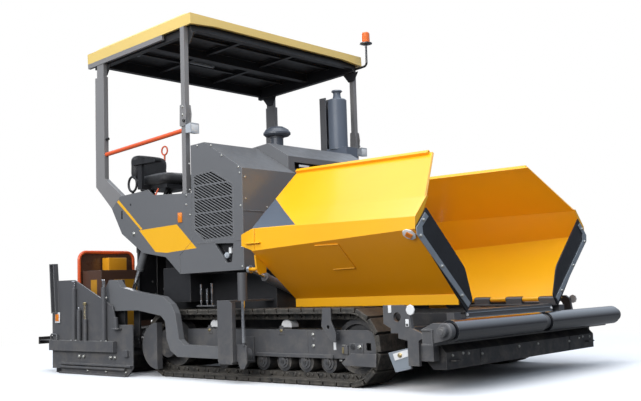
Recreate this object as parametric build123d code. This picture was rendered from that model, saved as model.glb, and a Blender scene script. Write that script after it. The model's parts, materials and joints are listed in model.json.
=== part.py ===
from build123d import *
import os
from math import atan2, cos, degrees, hypot, pi, sin

# Tracked asphalt paver with a folding hopper, a shaded operator's platform and a towed screed.
# Millimetres. +X points forwards, +Y to the left, +Z up. The origin is on the ground, on the
# machine's long centre line. Pieces of the left side are drawn and mirrored to the right.

# Whole machine: half widths follow the outer face of the tracks
TRACK_OUT = 1188
SIDE = TRACK_OUT + 32
CHASSIS_HALF = TRACK_OUT - 338
SCREED_HALF = TRACK_OUT + 47
PLATE = 12
SEAT = 0.3
RUN_FIT = 0.05

# Tracks
WHEELBASE = 2035
IDLER_X = 1425
SPROCKET_X = IDLER_X - WHEELBASE
TRACK_R = 286.5
SHOE_WIDTH = 300
SHOE_COUNT = 44
SHOE_T = 30
SHOE_GAP = 14
BELT_T = 10
CHAIN_T = 46
CHAIN_WIDTH = 130
LINK_SLOT = 15
LINK_SLANT = 38
TRACK_MID = TRACK_OUT - SHOE_WIDTH / 2
CHAIN_R = TRACK_R - SHOE_T - BELT_T - CHAIN_T
WHEEL_R = CHAIN_R - SEAT
CHAIN_HIGH = SHOE_T + BELT_T + CHAIN_T
IDLER_WIDTH = 90
IDLER_WEB = 20

# Track frames
BEAM_HALF = 98
BEAM_TOP = 410
BEAM_LOW = 200
BEAM_REAR = SPROCKET_X + 210
NOSE_R = 228
LIP = 14
HOOK_X = IDLER_X - 185
CROSS_XS = (-40, 900)
ROLLER_R = 75
ROLLER_FIRST_X = 1163
ROLLER_PITCH = 231
ROLLER_COUNT = 6
CARRIER_R = 55
CARRIER_XS = (-124, 707)
CARRIER_Z = 2 * TRACK_R - CHAIN_HIGH - CARRIER_R - SEAT

# Chassis
CHASSIS_REAR = SPROCKET_X - 310
CHASSIS_LOW = 240
CHASSIS_TOP = 880
CHASSIS_NOSE_X = IDLER_X + 635
NOSE_TOP = 520
DECK_SKIRT_Z = CHASSIS_TOP
HEADER_D = 40
HEADER_LOW = 720

# Conveyors
BED_Z = 470
BED_T = 10
SLAT_H = 36
CHAIN_H = 22
SLAT_W = 46
SLAT_PITCH = 152
LANE_IN = 30
LANE_OUT = CHASSIS_HALF - 250
LINER_Y = LANE_OUT + 20
DRUM_R = 70
DRUM_FRONT_X = CHASSIS_NOSE_X - 70
DRUM_REAR_X = CHASSIS_REAR + 100
SHAFT_R = 25

# Hopper
HINGE_Y = CHASSIS_HALF - 147
HINGE_Z = 571
HINGE_R = 22
HINGE_PIN_R = 12
HINGE_PARTS = 10
HOPPER_REAR = 560
HOPPER_FRONT = CHASSIS_NOSE_X + 70
WING_OUT = HINGE_Y + 595
WING_TOP_Y = HINGE_Y + 21
WING_TOP_Z = 1707
WING_TIP_X = HOPPER_FRONT - 238
REAR_WALL_TOP = 1120
BEND_Y = WING_OUT - 149
BEND_Z = 1336
WING_LIP = (32, 22)
WING_HEEL = 120
FLAP_T = 10

# Wing cylinders
WING_CYL_X = HOPPER_REAR - 122
WING_PIVOT = (LINER_Y + 10, 680)
WING_LUG = (WING_OUT - 98, 890)
WING_BARREL_R = 34
WING_ROD_R = 17
WING_PIN_R = 14
WING_BARREL_L = 430
WING_BOSS_R = 26

# Push rollers
PUSH_X = CHASSIS_NOSE_X + 290
PUSH_Z = 415
PUSH_R = 74
PUSH_OUT = SIDE + 45
PUSH_HUB = 45
PUSH_PIN_R = 24

# Front beam
EYE_Y = TRACK_OUT + 12
EYE_T = 30
EYE_R = 33
EYE_X = CHASSIS_NOSE_X - 161
EYE_Z = 508
BUMPER_LOW = 148
BUMPER_TOP = 322
BUMPER_REAR = CHASSIS_NOSE_X + 2
BUMPER_FRONT = BUMPER_REAR + 168

# Deck and housings
DECK_Z = 1330
DECK_REAR = -1230
HOUSE_REAR = -230
HOUSE_FRONT = 392
HOUSE_RIDGE_X = -56
HOUSE_EAVE = 1717
HOUSE_TOP = HOUSE_EAVE + 265
HOUSE_IN = 580
SHEET = 20
CENTRE_TOP = HOUSE_EAVE + 301
GRILLE_T = 6
GRILLE_LOW = 1146
GRILLE_TOP = HOUSE_EAVE + 19
GRILLE_BANDS = 5
SLOT_PITCH = 49
SLOT_W = 13
SLOT_SLANT = -27
EXHAUST_X = -140
EXHAUST_Y = 660
EXHAUST_R = 95
EXHAUST_LOW = HOUSE_EAVE + 388
EXHAUST_HIGH = EXHAUST_LOW + 503
INTAKE_X = -30
INTAKE_Y = -350
TANK_X = (DECK_REAR + 470, DECK_REAR + 830)

# Seats
SEAT_X = DECK_REAR + 270
SEAT_Y = SIDE - 360

# Roof and posts
ROOF_REAR = -1740
ROOF_FRONT = -224
ROOF_HALF = SIDE - 25
ROOF_LOW = 2960
ROOF_EDGE = 100
ROOF_CROWN = 55
ROOF_RISE = 92
ROOF_LENGTH = ROOF_FRONT - ROOF_REAR
ROOF_SKIN = 24
ROOF_WALL = 30
ROOF_BOW = 25
TRIM_LENGTH = 1120
TRIM_DROP = 45
REAR_POST_X = ROOF_REAR + 190
REAR_POST_W = 135
FRONT_POST_X = ROOF_FRONT - 116
POST_T = 50
POST_IN = SIDE - 70
POST_STEP_Z = 2800
KNEE_Z = 2250
LAMP_Z = 2130

# Towing
TOW_X = 462
TOW_Z = 226
TOW_PIN_R = 25
ARM_IN = SCREED_HALF + 30
ARM_T = 60
ARM_OUT = ARM_IN + ARM_T
COLUMN_X = 247
COLUMN_W = 168
COLUMN_LOW = 165
COLUMN_TOP = 633
COLUMN_OUT = ARM_OUT + 65
LEVEL_X = 498
LEVEL_R = 38
LEVEL_LOW = 645
LEVEL_TOP = 862
LEVEL_Y = COLUMN_OUT - 42
LEVEL_ROD_R = 14

# Augers
AUGER_X = CHASSIS_REAR - 150
AUGER_Z = 300
AUGER_R = 150
AUGER_SHAFT_R = 32
AUGER_LEAD = 260
AUGER_IN = 80
AUGER_SHAFT_IN = 25
AUGER_OUT = SCREED_HALF - 95
FLIGHT_T = 14

# Screed
SCREED_FRONT = AUGER_X - 200
SCREED_REAR = SCREED_FRONT - 420
SCREED_TOP = 400
SOLE_T = 16
EXT_GAP = 12
EXT_REAR = SCREED_REAR - 420
EXT_IN = 15
EXT_OUT = SCREED_HALF + 87
GUIDE_R = 52
GUIDE_XZ = ((SCREED_REAR + 290, 285), (SCREED_REAR + 100, 285))
GUIDE_END = 60
GATE_IN = EXT_OUT + 18
GATE_T = 12
WALK_REAR = EXT_REAR - 310
GATE_REAR = EXT_REAR - 21
GATE_FRONT = AUGER_X + 180
GATE_BEAM = (210, 306)
SPRING_XS = (SCREED_REAR - 50, SCREED_FRONT - 5)
SCREW_X = SCREED_REAR + 130
SPRING_TOP = 850
SPRING_R = 24
RAIL_X = EXT_REAR + 30
RAIL_Y = (420, 1080)
RAIL_TOP = 1150
CABINET_X = (EXT_REAR + 50, EXT_REAR + 350)

# Screed lift
LIFT_PIVOT = (CHASSIS_REAR + 45, 1240)
LIFT_LUG = (SCREED_FRONT + 120, 690)
LIFT_Y = SCREED_HALF - 75
LIFT_BARREL_R = 34
LIFT_ROD_R = 18
LIFT_PIN_R = 16
LIFT_BARREL_L = 340


def block(x0, x1, y0, y1, z0, z1):
    """Box between two corners."""
    return Pos((x0 + x1) / 2, (y0 + y1) / 2, (z0 + z1) / 2) * Box(x1 - x0, y1 - y0, z1 - z0)


def outline(points, radius=0):
    """Flat face inside a closed outline, its corners rounded by one radius or by one each."""
    if radius:
        return make_face(FilletPolyline(points, radius=radius, close=True))
    return Polygon(points, align=None)


def across(sketch, y0, y1):
    """Sketch of (x, z) made solid from y0 to y1."""
    return Pos(0, y0, 0) * extrude(Plane.XZ * sketch, amount=y1 - y0, dir=(0, 1, 0))


def along(sketch, x0, x1):
    """Sketch of (y, z) made solid from x0 to x1."""
    return Pos(x0, 0, 0) * extrude(Plane.YZ * sketch, amount=x1 - x0, dir=(1, 0, 0))


def upward(sketch, z0, z1):
    """Sketch of (x, y) made solid from z0 to z1."""
    return Pos(0, 0, z0) * extrude(Plane.XY * sketch, amount=z1 - z0, dir=(0, 0, 1))


def disc_y(x, z, radius, y0, y1):
    """Round piece whose axis runs along Y."""
    return across(Pos(x, z) * Circle(radius), y0, y1)


def disc_x(y, z, radius, x0, x1):
    """Round piece whose axis runs along X."""
    return along(Pos(y, z) * Circle(radius), x0, x1)


def disc_z(x, y, radius, z0, z1):
    """Round piece whose axis runs along Z."""
    return upward(Pos(x, y) * Circle(radius), z0, z1)


def bar(start, end, radius):
    """Round bar between two points."""
    line = Vector(*end) - Vector(*start)
    plane = Plane(origin=start, z_dir=line.normalized())
    return extrude(plane * Circle(radius), amount=line.length)


def turned(points, x, y):
    """Round piece with its axis upright at (x, y), from the (radius, z) outline of its half."""
    return Pos(x, y, 0) * revolve(Plane.XZ * Polygon(points, align=None), Axis.Z)


def tube(points, radius, bend):
    """Round bar along straight runs that bends join."""
    start = Vector(*points[0])
    plane = Plane(origin=start, z_dir=(Vector(*points[1]) - start).normalized())
    return sweep(plane * Circle(radius), path=FilletPolyline(points, radius=bend))


def right(shape):
    """Mirror image of a left piece on the right side."""
    return mirror(shape, about=Plane.XZ)


def both(shape):
    """A left piece and its mirror image."""
    return [shape, right(shape)]


def save(name, *shapes):
    """Writes the solids of one node."""
    solids = []
    for shape in shapes:
        items = shape if isinstance(shape, (list, tuple)) else [shape]
        for item in items:
            solids += list(item.solids())
    export_step(Compound(solids) if len(solids) > 1 else solids[0], f"parts/{name}.step")


def loop_place(run, radius):
    """Point and tilt on the track's loop at a length along it."""
    arc = pi * radius
    if run < WHEELBASE:
        return SPROCKET_X + run, TRACK_R + radius, 0
    run -= WHEELBASE
    if run < arc:
        turn = run / radius
        return IDLER_X + radius * sin(turn), TRACK_R + radius * cos(turn), -degrees(turn)
    run -= arc
    if run < WHEELBASE:
        return IDLER_X - run, TRACK_R - radius, -180
    turn = (run - WHEELBASE) / radius
    return SPROCKET_X - radius * sin(turn), TRACK_R - radius * cos(turn), -180 - degrees(turn)


def loop_band(outer, inner):
    """Ring round both end wheels, between two radii."""
    middle = Pos((SPROCKET_X + IDLER_X) / 2, TRACK_R)
    return middle * (SlotCenterToCenter(WHEELBASE, 2 * outer) - SlotCenterToCenter(WHEELBASE, 2 * inner))


def track():
    """Left track as one loop: pads on a belt of shoes, with the chain's slanting links inside."""
    belt_r = TRACK_R - SHOE_T
    mid_r = belt_r + SHOE_T / 2
    pitch = (2 * WHEELBASE + 2 * pi * mid_r) / SHOE_COUNT
    shoes = loop_band(belt_r, belt_r - BELT_T)
    for index in range(SHOE_COUNT):
        x, z, tilt = loop_place((index + 0.5) * pitch, mid_r)
        shoes += Pos(x, z) * Rot(0, 0, tilt) * Rectangle(pitch - SHOE_GAP, SHOE_T + 0.5)
    chain = loop_band(belt_r - BELT_T, CHAIN_R)
    link_r = CHAIN_R + 0.55 * CHAIN_T
    link_pitch = (2 * WHEELBASE + 2 * pi * link_r) / SHOE_COUNT
    for index in range(SHOE_COUNT):
        x, z, tilt = loop_place(index * link_pitch, link_r)
        chain -= Pos(x, z) * Rot(0, 0, tilt + LINK_SLANT) * Rectangle(LINK_SLOT, 0.72 * CHAIN_T)
    half = CHAIN_WIDTH / 2
    return (across(shoes, TRACK_MID - SHOE_WIDTH / 2, TRACK_OUT)
            + across(chain, TRACK_MID - half, TRACK_MID + half))


def roller_xs():
    """Places of the lower rollers, from the front one back."""
    return [ROLLER_FIRST_X - ROLLER_PITCH * index for index in range(ROLLER_COUNT)]


def beam_cheek(y0, y1):
    """Side plate of a track frame, with a rounded nose in front of the idler."""
    nose = IDLER_X + NOSE_R
    plate = [(BEAM_REAR, BEAM_LOW), (nose, BEAM_LOW), (nose, BEAM_TOP), (BEAM_REAR, BEAM_TOP)]
    return across(outline(plate, [0, 60, 110, 0]), y0, y1)


def track_frame():
    """Left track frame: a box beam open below, with the rollers' seats, its lip and its guards."""
    inner = TRACK_MID - BEAM_HALF
    outer = TRACK_MID + BEAM_HALF
    beam = beam_cheek(inner, inner + PLATE) + beam_cheek(outer - PLATE, outer)
    beam += block(BEAM_REAR, IDLER_X - CHAIN_R - 20, inner, outer, BEAM_TOP - 14, BEAM_TOP)
    beam += block(BEAM_REAR, BEAM_REAR + 20, inner, outer, BEAM_LOW, BEAM_TOP)
    beam += block(IDLER_X - CHAIN_R - 40, IDLER_X - CHAIN_R - 20, inner, outer, BEAM_LOW + 45, BEAM_TOP)
    beam -= disc_y(IDLER_X, TRACK_R, 30, inner, outer)
    beam -= block(IDLER_X + 121, IDLER_X + 165, outer - PLATE, outer, TRACK_R - 24, TRACK_R + 32)
    beam += block(COLUMN_X + COLUMN_W + 20, IDLER_X - 190, outer, outer + LIP, BEAM_LOW, BEAM_LOW + 26)
    for x in roller_xs():
        beam -= disc_y(x, CHAIN_HIGH + ROLLER_R, 16, inner, outer)
    for x in CARRIER_XS:
        beam += block(x - 22, x + 22, inner, inner + 30, BEAM_TOP, BEAM_TOP + 40)
        reach = CARRIER_R + 8
        beam -= block(x - reach, x + reach, TRACK_MID - 46, TRACK_MID + 46, BEAM_TOP - 20, BEAM_TOP)
    for x in CROSS_XS:
        beam += block(x - 60, x + 60, CHASSIS_HALF, inner, BEAM_LOW + 40, BEAM_TOP - 30)
    return beam + track_guards(outer)


def track_guards(outer):
    """Hooked guide plate and shoe scraper outside the shoes, on spacers of the left frame."""
    y = TRACK_OUT + 12
    hook = outline([(HOOK_X - 38, 577), (HOOK_X + 40, 577), (HOOK_X + 40, 480), (HOOK_X + 83, 390),
                    (HOOK_X + 81, 330), (HOOK_X + 40, 330), (HOOK_X - 53, 440)], 8)
    guards = across(hook, y, y + PLATE) - disc_y(HOOK_X + 12, 435, 14, y, y + PLATE)
    guards += block(HOOK_X + 12, HOOK_X + 62, outer, y, 345, 385)
    low = IDLER_X - 54
    blade = outline([(low, 176), (low + 92, 247), (low + 320, 246), (low + 314, 154), (low + 20, 160)])
    guards += across(blade, y, y + PLATE)
    guards += block(low + 40, low + 80, outer, y, BEAM_LOW, BEAM_LOW + 26)
    return guards


def track_wheels():
    """End wheels and rollers of the left track; the idler has sunk webs and a raised hub."""
    half = IDLER_WIDTH / 2
    idler = disc_y(IDLER_X, TRACK_R, WHEEL_R, TRACK_MID - half, TRACK_MID + half)
    for y0, y1 in ((TRACK_MID - half, TRACK_MID - IDLER_WEB), (TRACK_MID + IDLER_WEB, TRACK_MID + half)):
        idler -= disc_y(IDLER_X, TRACK_R, WHEEL_R - 34, y0, y1) - disc_y(IDLER_X, TRACK_R, 70, y0, y1)
    idler += disc_y(IDLER_X, TRACK_R, 30 - SEAT, TRACK_MID - BEAM_HALF, TRACK_MID + BEAM_HALF)
    sprocket = disc_y(SPROCKET_X, TRACK_R, WHEEL_R, TRACK_MID - half, TRACK_MID + half)
    sprocket += disc_y(SPROCKET_X, TRACK_R, 150, CHASSIS_HALF, TRACK_MID)
    sprocket += disc_y(SPROCKET_X, TRACK_R, 120, TRACK_MID, TRACK_OUT + 4)
    wheels = [idler, sprocket]
    for x in roller_xs():
        low = CHAIN_HIGH + SEAT
        roller = disc_y(x, low + ROLLER_R, ROLLER_R, TRACK_MID - 70, TRACK_MID + 70)
        roller += disc_y(x, low + ROLLER_R, 16 - SEAT, TRACK_MID - BEAM_HALF, TRACK_MID + BEAM_HALF)
        wheels.append(roller)
    for x in CARRIER_XS:
        carrier = disc_y(x, CARRIER_Z, CARRIER_R, TRACK_MID - 40, TRACK_MID + 40)
        carrier += disc_y(x, CARRIER_Z, 14, TRACK_MID - BEAM_HALF + 30, TRACK_MID - 40)
        wheels.append(carrier)
    return wheels


def drive_cover():
    """Round backed guard beside the left sprocket."""
    centre = SPROCKET_X - 70
    radius = 200
    shape = Pos(centre, TRACK_R - 20) * Circle(radius)
    shape -= Pos(centre + radius, TRACK_R) * Rectangle(2 * radius, 3 * radius)
    cover = across(shape, TRACK_OUT + 4, TRACK_OUT + 64)
    return cover


def main_frame():
    """Welded chassis between the tracks: side walls, belly, tunnel roof and cross plates."""
    wall = outline([(CHASSIS_REAR, CHASSIS_LOW), (CHASSIS_NOSE_X, CHASSIS_LOW), (CHASSIS_NOSE_X, NOSE_TOP),
                    (HOUSE_FRONT, NOSE_TOP), (HOUSE_FRONT, CHASSIS_TOP), (CHASSIS_REAR, CHASSIS_TOP)])
    frame = across(wall, CHASSIS_HALF - PLATE, CHASSIS_HALF)
    frame += right(frame)
    half = CHASSIS_HALF
    frame += block(CHASSIS_REAR, CHASSIS_NOSE_X, -half, half, CHASSIS_LOW, CHASSIS_LOW + PLATE)
    frame += block(CHASSIS_REAR + 60, HOUSE_FRONT, -half, half, CHASSIS_TOP - PLATE, CHASSIS_TOP)
    for x in (CHASSIS_REAR + 160, SPROCKET_X + 250, 250, 900, 1600):
        frame += block(x, x + PLATE, -half, half, CHASSIS_LOW, BED_Z - 2 * SLAT_H - 60)
    inner = LINER_Y
    lane = outline([(CHASSIS_REAR, BED_Z), (HOUSE_FRONT, BED_Z), (HOUSE_FRONT, CHASSIS_TOP),
                    (CHASSIS_REAR, CHASSIS_TOP)])
    liner = across(lane, inner, inner + PLATE)
    frame += liner + right(liner)
    front = block(HOUSE_FRONT - PLATE, HOUSE_FRONT, inner, half, BED_Z, CHASSIS_TOP)
    frame += front + right(front)
    frame += block(CHASSIS_REAR - HEADER_D, CHASSIS_REAR, -half, half, HEADER_LOW, CHASSIS_TOP)
    shelf = block(CHASSIS_REAR, CHASSIS_NOSE_X, inner, half, BED_Z - PLATE, BED_Z)
    frame += shelf + right(shelf)
    return frame


def hopper_floor():
    """Fixed hopper floor beside the conveyors, its rear wall, front lip and hinge tubes."""
    floor = block(HOUSE_FRONT, CHASSIS_NOSE_X, LANE_OUT + 5, HINGE_Y - 3, NOSE_TOP, NOSE_TOP + PLATE)
    floor += block(HOUSE_FRONT, CHASSIS_NOSE_X, LINER_Y + 30, LINER_Y + 30 + PLATE, BED_Z + SEAT, NOSE_TOP)
    floor += disc_x(HINGE_Y, HINGE_Z, HINGE_PIN_R, HOPPER_REAR, HOPPER_FRONT - 5)
    for x0, x1 in hinge_spans(1):
        floor += disc_x(HINGE_Y, HINGE_Z, HINGE_R, x0, x1)
        floor += block(x0, x1, HINGE_Y - HINGE_R, HINGE_Y - 3, NOSE_TOP, HINGE_Z)
    floor += right(floor)
    lip_x = CHASSIS_NOSE_X
    floor += block(lip_x, lip_x + 40, -HINGE_Y + 30, HINGE_Y - 30, NOSE_TOP - 60, NOSE_TOP + PLATE)
    edge = HINGE_Y - 40
    foot = LANE_OUT + 6
    low = NOSE_TOP + PLATE - 1
    wall = outline([(-foot, low), (-LANE_OUT, 760), (LANE_OUT, 760), (foot, low), (edge, low),
                    (edge, REAR_WALL_TOP), (-edge, REAR_WALL_TOP), (-edge, low)])
    floor += along(wall, HOPPER_REAR - 25, HOPPER_REAR - 25 + PLATE)
    return floor


def conveyor():
    """Left slat conveyor: its bed, its end drums and the slats between two chains."""
    clear = DRUM_R + 20
    bed = block(DRUM_REAR_X + clear, DRUM_FRONT_X - clear, LANE_IN, LINER_Y - SEAT, BED_Z, BED_Z + BED_T)
    count = int((DRUM_FRONT_X - DRUM_REAR_X) / SLAT_PITCH)
    low = BED_Z + BED_T + SEAT
    lane = block(DRUM_REAR_X, DRUM_FRONT_X, LANE_IN + 8, LANE_IN + 22, low, low + CHAIN_H)
    lane += block(DRUM_REAR_X, DRUM_FRONT_X, LANE_OUT - 22, LANE_OUT - 8, low, low + CHAIN_H)
    for index in range(count + 1):
        x = DRUM_REAR_X + SLAT_W / 2 + index * (SLAT_PITCH - SLAT_W / count)
        lane += block(x - SLAT_W / 2, x + SLAT_W / 2, LANE_IN + 20, LANE_OUT - 20, low, low + SLAT_H - SEAT)
    drums = []
    for x in (DRUM_REAR_X, DRUM_FRONT_X):
        drum = disc_y(x, BED_Z - DRUM_R + 9, DRUM_R, LANE_IN, LANE_OUT)
        drums.append(drum + disc_y(x, BED_Z - DRUM_R + 9, SHAFT_R, LANE_OUT, CHASSIS_HALF - PLATE - SEAT))
    return [bed, lane] + drums


def front_frame():
    """Bumper across the nose, its lifting plates and the plates that turn spilt mix aside."""
    rear, front, low, top = BUMPER_REAR, BUMPER_FRONT, BUMPER_LOW, BUMPER_TOP
    shape = outline([(rear, low + 60), (rear + 60, low), (front, low), (front, top - 60), (front - 60, top),
                     (rear, top)])
    beam = across(shape, 63 - EYE_Y, EYE_Y - 63)
    nose = CHASSIS_NOSE_X
    hanger = block(nose + SEAT, nose + 60, CHASSIS_HALF - 90, CHASSIS_HALF, top, NOSE_TOP)
    parts = beam + hanger + right(hanger)
    x = EYE_X
    eye = outline([(x - 119, 590), (x - 119, 462), (x - 57, 430), (x - 57, 396), (x + 6, 396), (x + 6, 362),
                   (x + 83, 346), (x + 83, 176), (x + 172, 176), (x + 172, 346), (x + 205, 362),
                   (x + 205, 396), (x + 120, 430), (x + 100, 560), (x + 60, 590)])
    side = across(eye - Pos(EYE_X, EYE_Z) * Circle(EYE_R), EYE_Y, EYE_Y + EYE_T)
    side += block(EYE_X - 50, EYE_X + 40, CHASSIS_HALF, EYE_Y, 396, 430)
    side += block(EYE_X + 90, BUMPER_FRONT - 60, 1100, EYE_Y, BUMPER_LOW + 60, BUMPER_TOP)
    turn = outline([(x - 108, 258), (x + 90, 299), (x + 90, 154), (x - 49, 125)])
    return parts + side + across(turn, EYE_Y - 8, EYE_Y) + right(side + across(turn, EYE_Y - 8, EYE_Y))


def push_beam():
    """Beam and brackets that carry the two push rollers."""
    back = PUSH_X - PUSH_R - 16
    low = BUMPER_TOP
    top = low + 110
    half = PUSH_OUT + 70
    beam = block(BUMPER_FRONT - 60, back, -half, half, low, top)
    beam -= block(BUMPER_FRONT - 60, back - PLATE, -half, half, low + PLATE, top - PLATE)
    for y0, y1 in ((-PUSH_HUB, PUSH_HUB), (PUSH_OUT + 12, PUSH_OUT + 60), (-PUSH_OUT - 60, -PUSH_OUT - 12)):
        arm = outline([(back - 90, low), (PUSH_X, PUSH_Z - 56), (PUSH_X, PUSH_Z + 56), (back, PUSH_Z + 56),
                       (back - 90, top)])
        beam += across(arm, y0, y1) + disc_y(PUSH_X, PUSH_Z, 56, y0, y1)
    beam += disc_y(PUSH_X, PUSH_Z, PUSH_PIN_R, -PUSH_OUT - 60, PUSH_OUT + 60)
    for sign in (-1, 1):
        near, far = sorted((sign * (PUSH_OUT + 60), sign * (PUSH_OUT + 105)))
        beam += disc_y(PUSH_X, PUSH_Z, 34, near, far)
    return beam


def push_roller():
    """Left push roller, a tube that turns on the beam's pin."""
    roller = disc_y(PUSH_X, PUSH_Z, PUSH_R, PUSH_HUB + 6, PUSH_OUT)
    return roller - disc_y(PUSH_X, PUSH_Z, PUSH_PIN_R + RUN_FIT, 0, PUSH_OUT + 10)


def wing_section(rise):
    """Closed (y, z) outline of a wing plate: floor, outer band and leaning top, with its box edge."""
    crease = 1030 + rise
    return [(HINGE_Y, HINGE_Z - 6), (WING_OUT, crease), (WING_OUT - 6, 1205 - 0.2 * rise), (BEND_Y, BEND_Z),
            (WING_TOP_Y, WING_TOP_Z), (WING_TOP_Y - 9, WING_TOP_Z - 10), (BEND_Y - 14, BEND_Z - 12),
            (WING_OUT - 34, crease + 6), (HINGE_Y - 6, HINGE_Z + 8)]


def hopper_wing():
    """Left hopper wing, a ruled shell between its end sections, with lip, foot flange, heel and lug."""
    rear = Plane.YZ.offset(HOPPER_REAR) * Polygon(wing_section(0), align=None)
    front = Plane.YZ.offset(HOPPER_FRONT) * Polygon(wing_section(75), align=None)
    wing = loft([rear.faces()[0], front.faces()[0]], ruled=True)
    slant = outline([(WING_TIP_X, WING_TOP_Z + 40), (HOPPER_FRONT - 14, BEND_Z), (HOPPER_FRONT + 100, BEND_Z),
                     (HOPPER_FRONT + 100, WING_TOP_Z + 40)])
    wing += along(outline(wing_lip()), HOPPER_REAR, WING_TIP_X)
    wing -= across(slant, 0, SIDE)
    foot = HINGE_Y + 88
    wing += block(HOPPER_REAR, HOPPER_FRONT, foot, foot + 10, HINGE_Z + 4, HINGE_Z + 79)
    heel = outline([(HOPPER_REAR + 4, 1032), (HOPPER_REAR - WING_HEEL, 1075), (HOPPER_REAR - WING_HEEL, 1165),
                    (HOPPER_REAR + 4, 1207)])
    wing += across(heel, WING_OUT - 30, WING_OUT - 6)
    for x0, x1 in hinge_spans(1):
        wing -= disc_x(HINGE_Y, HINGE_Z, HINGE_R + 6, x0 - 3, x1 + 3)
    for x0, x1 in hinge_spans(0):
        wing += disc_x(HINGE_Y, HINGE_Z, HINGE_R, x0, x1)
    wing -= disc_x(HINGE_Y, HINGE_Z, HINGE_PIN_R + RUN_FIT, HOPPER_REAR, HOPPER_FRONT)
    lug = outline([(WING_LUG[0] - 60, WING_LUG[1] - 30), (WING_LUG[0] + 10, WING_LUG[1] - 45),
                   (WING_LUG[0] + 45, WING_LUG[1]), (WING_LUG[0] + 60, WING_LUG[1] + 110),
                   (WING_LUG[0] - 60, WING_LUG[1] + 40)])
    wing += along(lug, HOPPER_REAR - 14, HOPPER_REAR + 2)
    wing += disc_x(*WING_LUG, WING_PIN_R, WING_CYL_X - 16, HOPPER_REAR)
    return wing


def wing_lip():
    """Folded lip on the outside of a wing's top edge."""
    width, height = WING_LIP
    reach = hypot(BEND_Y - WING_TOP_Y, BEND_Z - WING_TOP_Z)
    dy = (BEND_Y - WING_TOP_Y) / reach
    dz = (BEND_Z - WING_TOP_Z) / reach
    out = (WING_TOP_Y - height * dz, WING_TOP_Z + height * dy)
    return [(WING_TOP_Y, WING_TOP_Z), out, (out[0] + width * dy, out[1] + width * dz),
            (WING_TOP_Y + width * dy, WING_TOP_Z + width * dz)]


def hopper_flap():
    """Rubber flap on the front edge of the left wing, with its free edge hanging in a long curve."""
    points = [(WING_OUT - 131, 1253), (WING_OUT - 4, 1121), (WING_OUT - 4, 1096), (HINGE_Y + 6, HINGE_Z - 51),
              (HINGE_Y - 79, 600), (HINGE_Y + 6, 838)]
    return along(outline(points, [0, 0, 0, 0, 30, 160]), HOPPER_FRONT, HOPPER_FRONT + FLAP_T)


def hinge_spans(first):
    """Start and end along X of every other tube of a wing's hinge."""
    step = (HOPPER_FRONT - HOPPER_REAR) / HINGE_PARTS
    starts = [HOPPER_REAR + index * step for index in range(first, HINGE_PARTS, 2)]
    return [(start + 3, start + step - 5) for start in starts]


def cylinder_barrel(length, radius, pin):
    """Cylinder body along local X from its pivot, in a plane, centred on the plane."""
    body = Pos(length / 2 + 15, 0, 0) * Rot(0, 90, 0) * Cylinder(radius, length - 30)
    eye = Cylinder(1.9 * pin, 1.2 * radius) + Pos(18, 0, 0) * Box(36, 1.8 * pin, 1.2 * radius)
    collar = Pos(length - 12, 0, 0) * Rot(0, 90, 0) * Cylinder(radius + 4, 24)
    return body + eye + collar - Cylinder(pin + RUN_FIT, 4 * radius)


def cylinder_rod(start, end, radius, pin):
    """Rod along local X between two distances from the pivot, with an open eye at its end."""
    shaft = Pos((start + end) / 2, 0, 0) * Rot(0, 90, 0) * Cylinder(radius, end - start)
    return shaft + Pos(end, 0, 0) * Cylinder(2.2 * pin, 1.6 * radius) - Pos(end, 0, 0) * Cylinder(pin + 5, 80)


def wing_cylinder():
    """Left wing cylinder: barrel and rod, in the plane across the machine behind the hopper."""
    reach = hypot(WING_LUG[0] - WING_PIVOT[0], WING_LUG[1] - WING_PIVOT[1])
    plane = Plane(origin=(WING_CYL_X, WING_PIVOT[0], WING_PIVOT[1]), x_dir=(0, WING_LUG[0] - WING_PIVOT[0],
                  WING_LUG[1] - WING_PIVOT[1]), z_dir=(1, 0, 0))
    barrel = cylinder_barrel(WING_BARREL_L, WING_BARREL_R, WING_PIN_R)
    bore = Rot(0, 90, 0) * Cylinder(WING_ROD_R + RUN_FIT, WING_BARREL_L)
    barrel -= Pos(WING_BARREL_L / 2 + 20, 0, 0) * bore
    rod = cylinder_rod(70, reach, WING_ROD_R, WING_PIN_R)
    return plane.location * barrel, plane.location * rod


def wing_pivot():
    """Boss and pin of the left wing cylinder on the chassis front plate."""
    boss = disc_x(*WING_PIVOT, WING_BOSS_R, HOUSE_FRONT, WING_CYL_X - 22)
    return boss + disc_x(*WING_PIVOT, WING_PIN_R, HOUSE_FRONT, WING_CYL_X + 30)


def grille_outline():
    """Outline of the slotted panel in the side of the cooler housing, as (x, z)."""
    left = HOUSE_REAR + 26
    front = HOUSE_FRONT - 110
    return outline([(left, GRILLE_TOP - 18), (HOUSE_RIDGE_X + 98, GRILLE_TOP), (front - 75, HOUSE_EAVE - 76),
                    (front, HOUSE_EAVE - 120), (front, GRILLE_LOW + 13), (left + 122, GRILLE_LOW),
                    (left, GRILLE_LOW + 92)])


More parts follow.
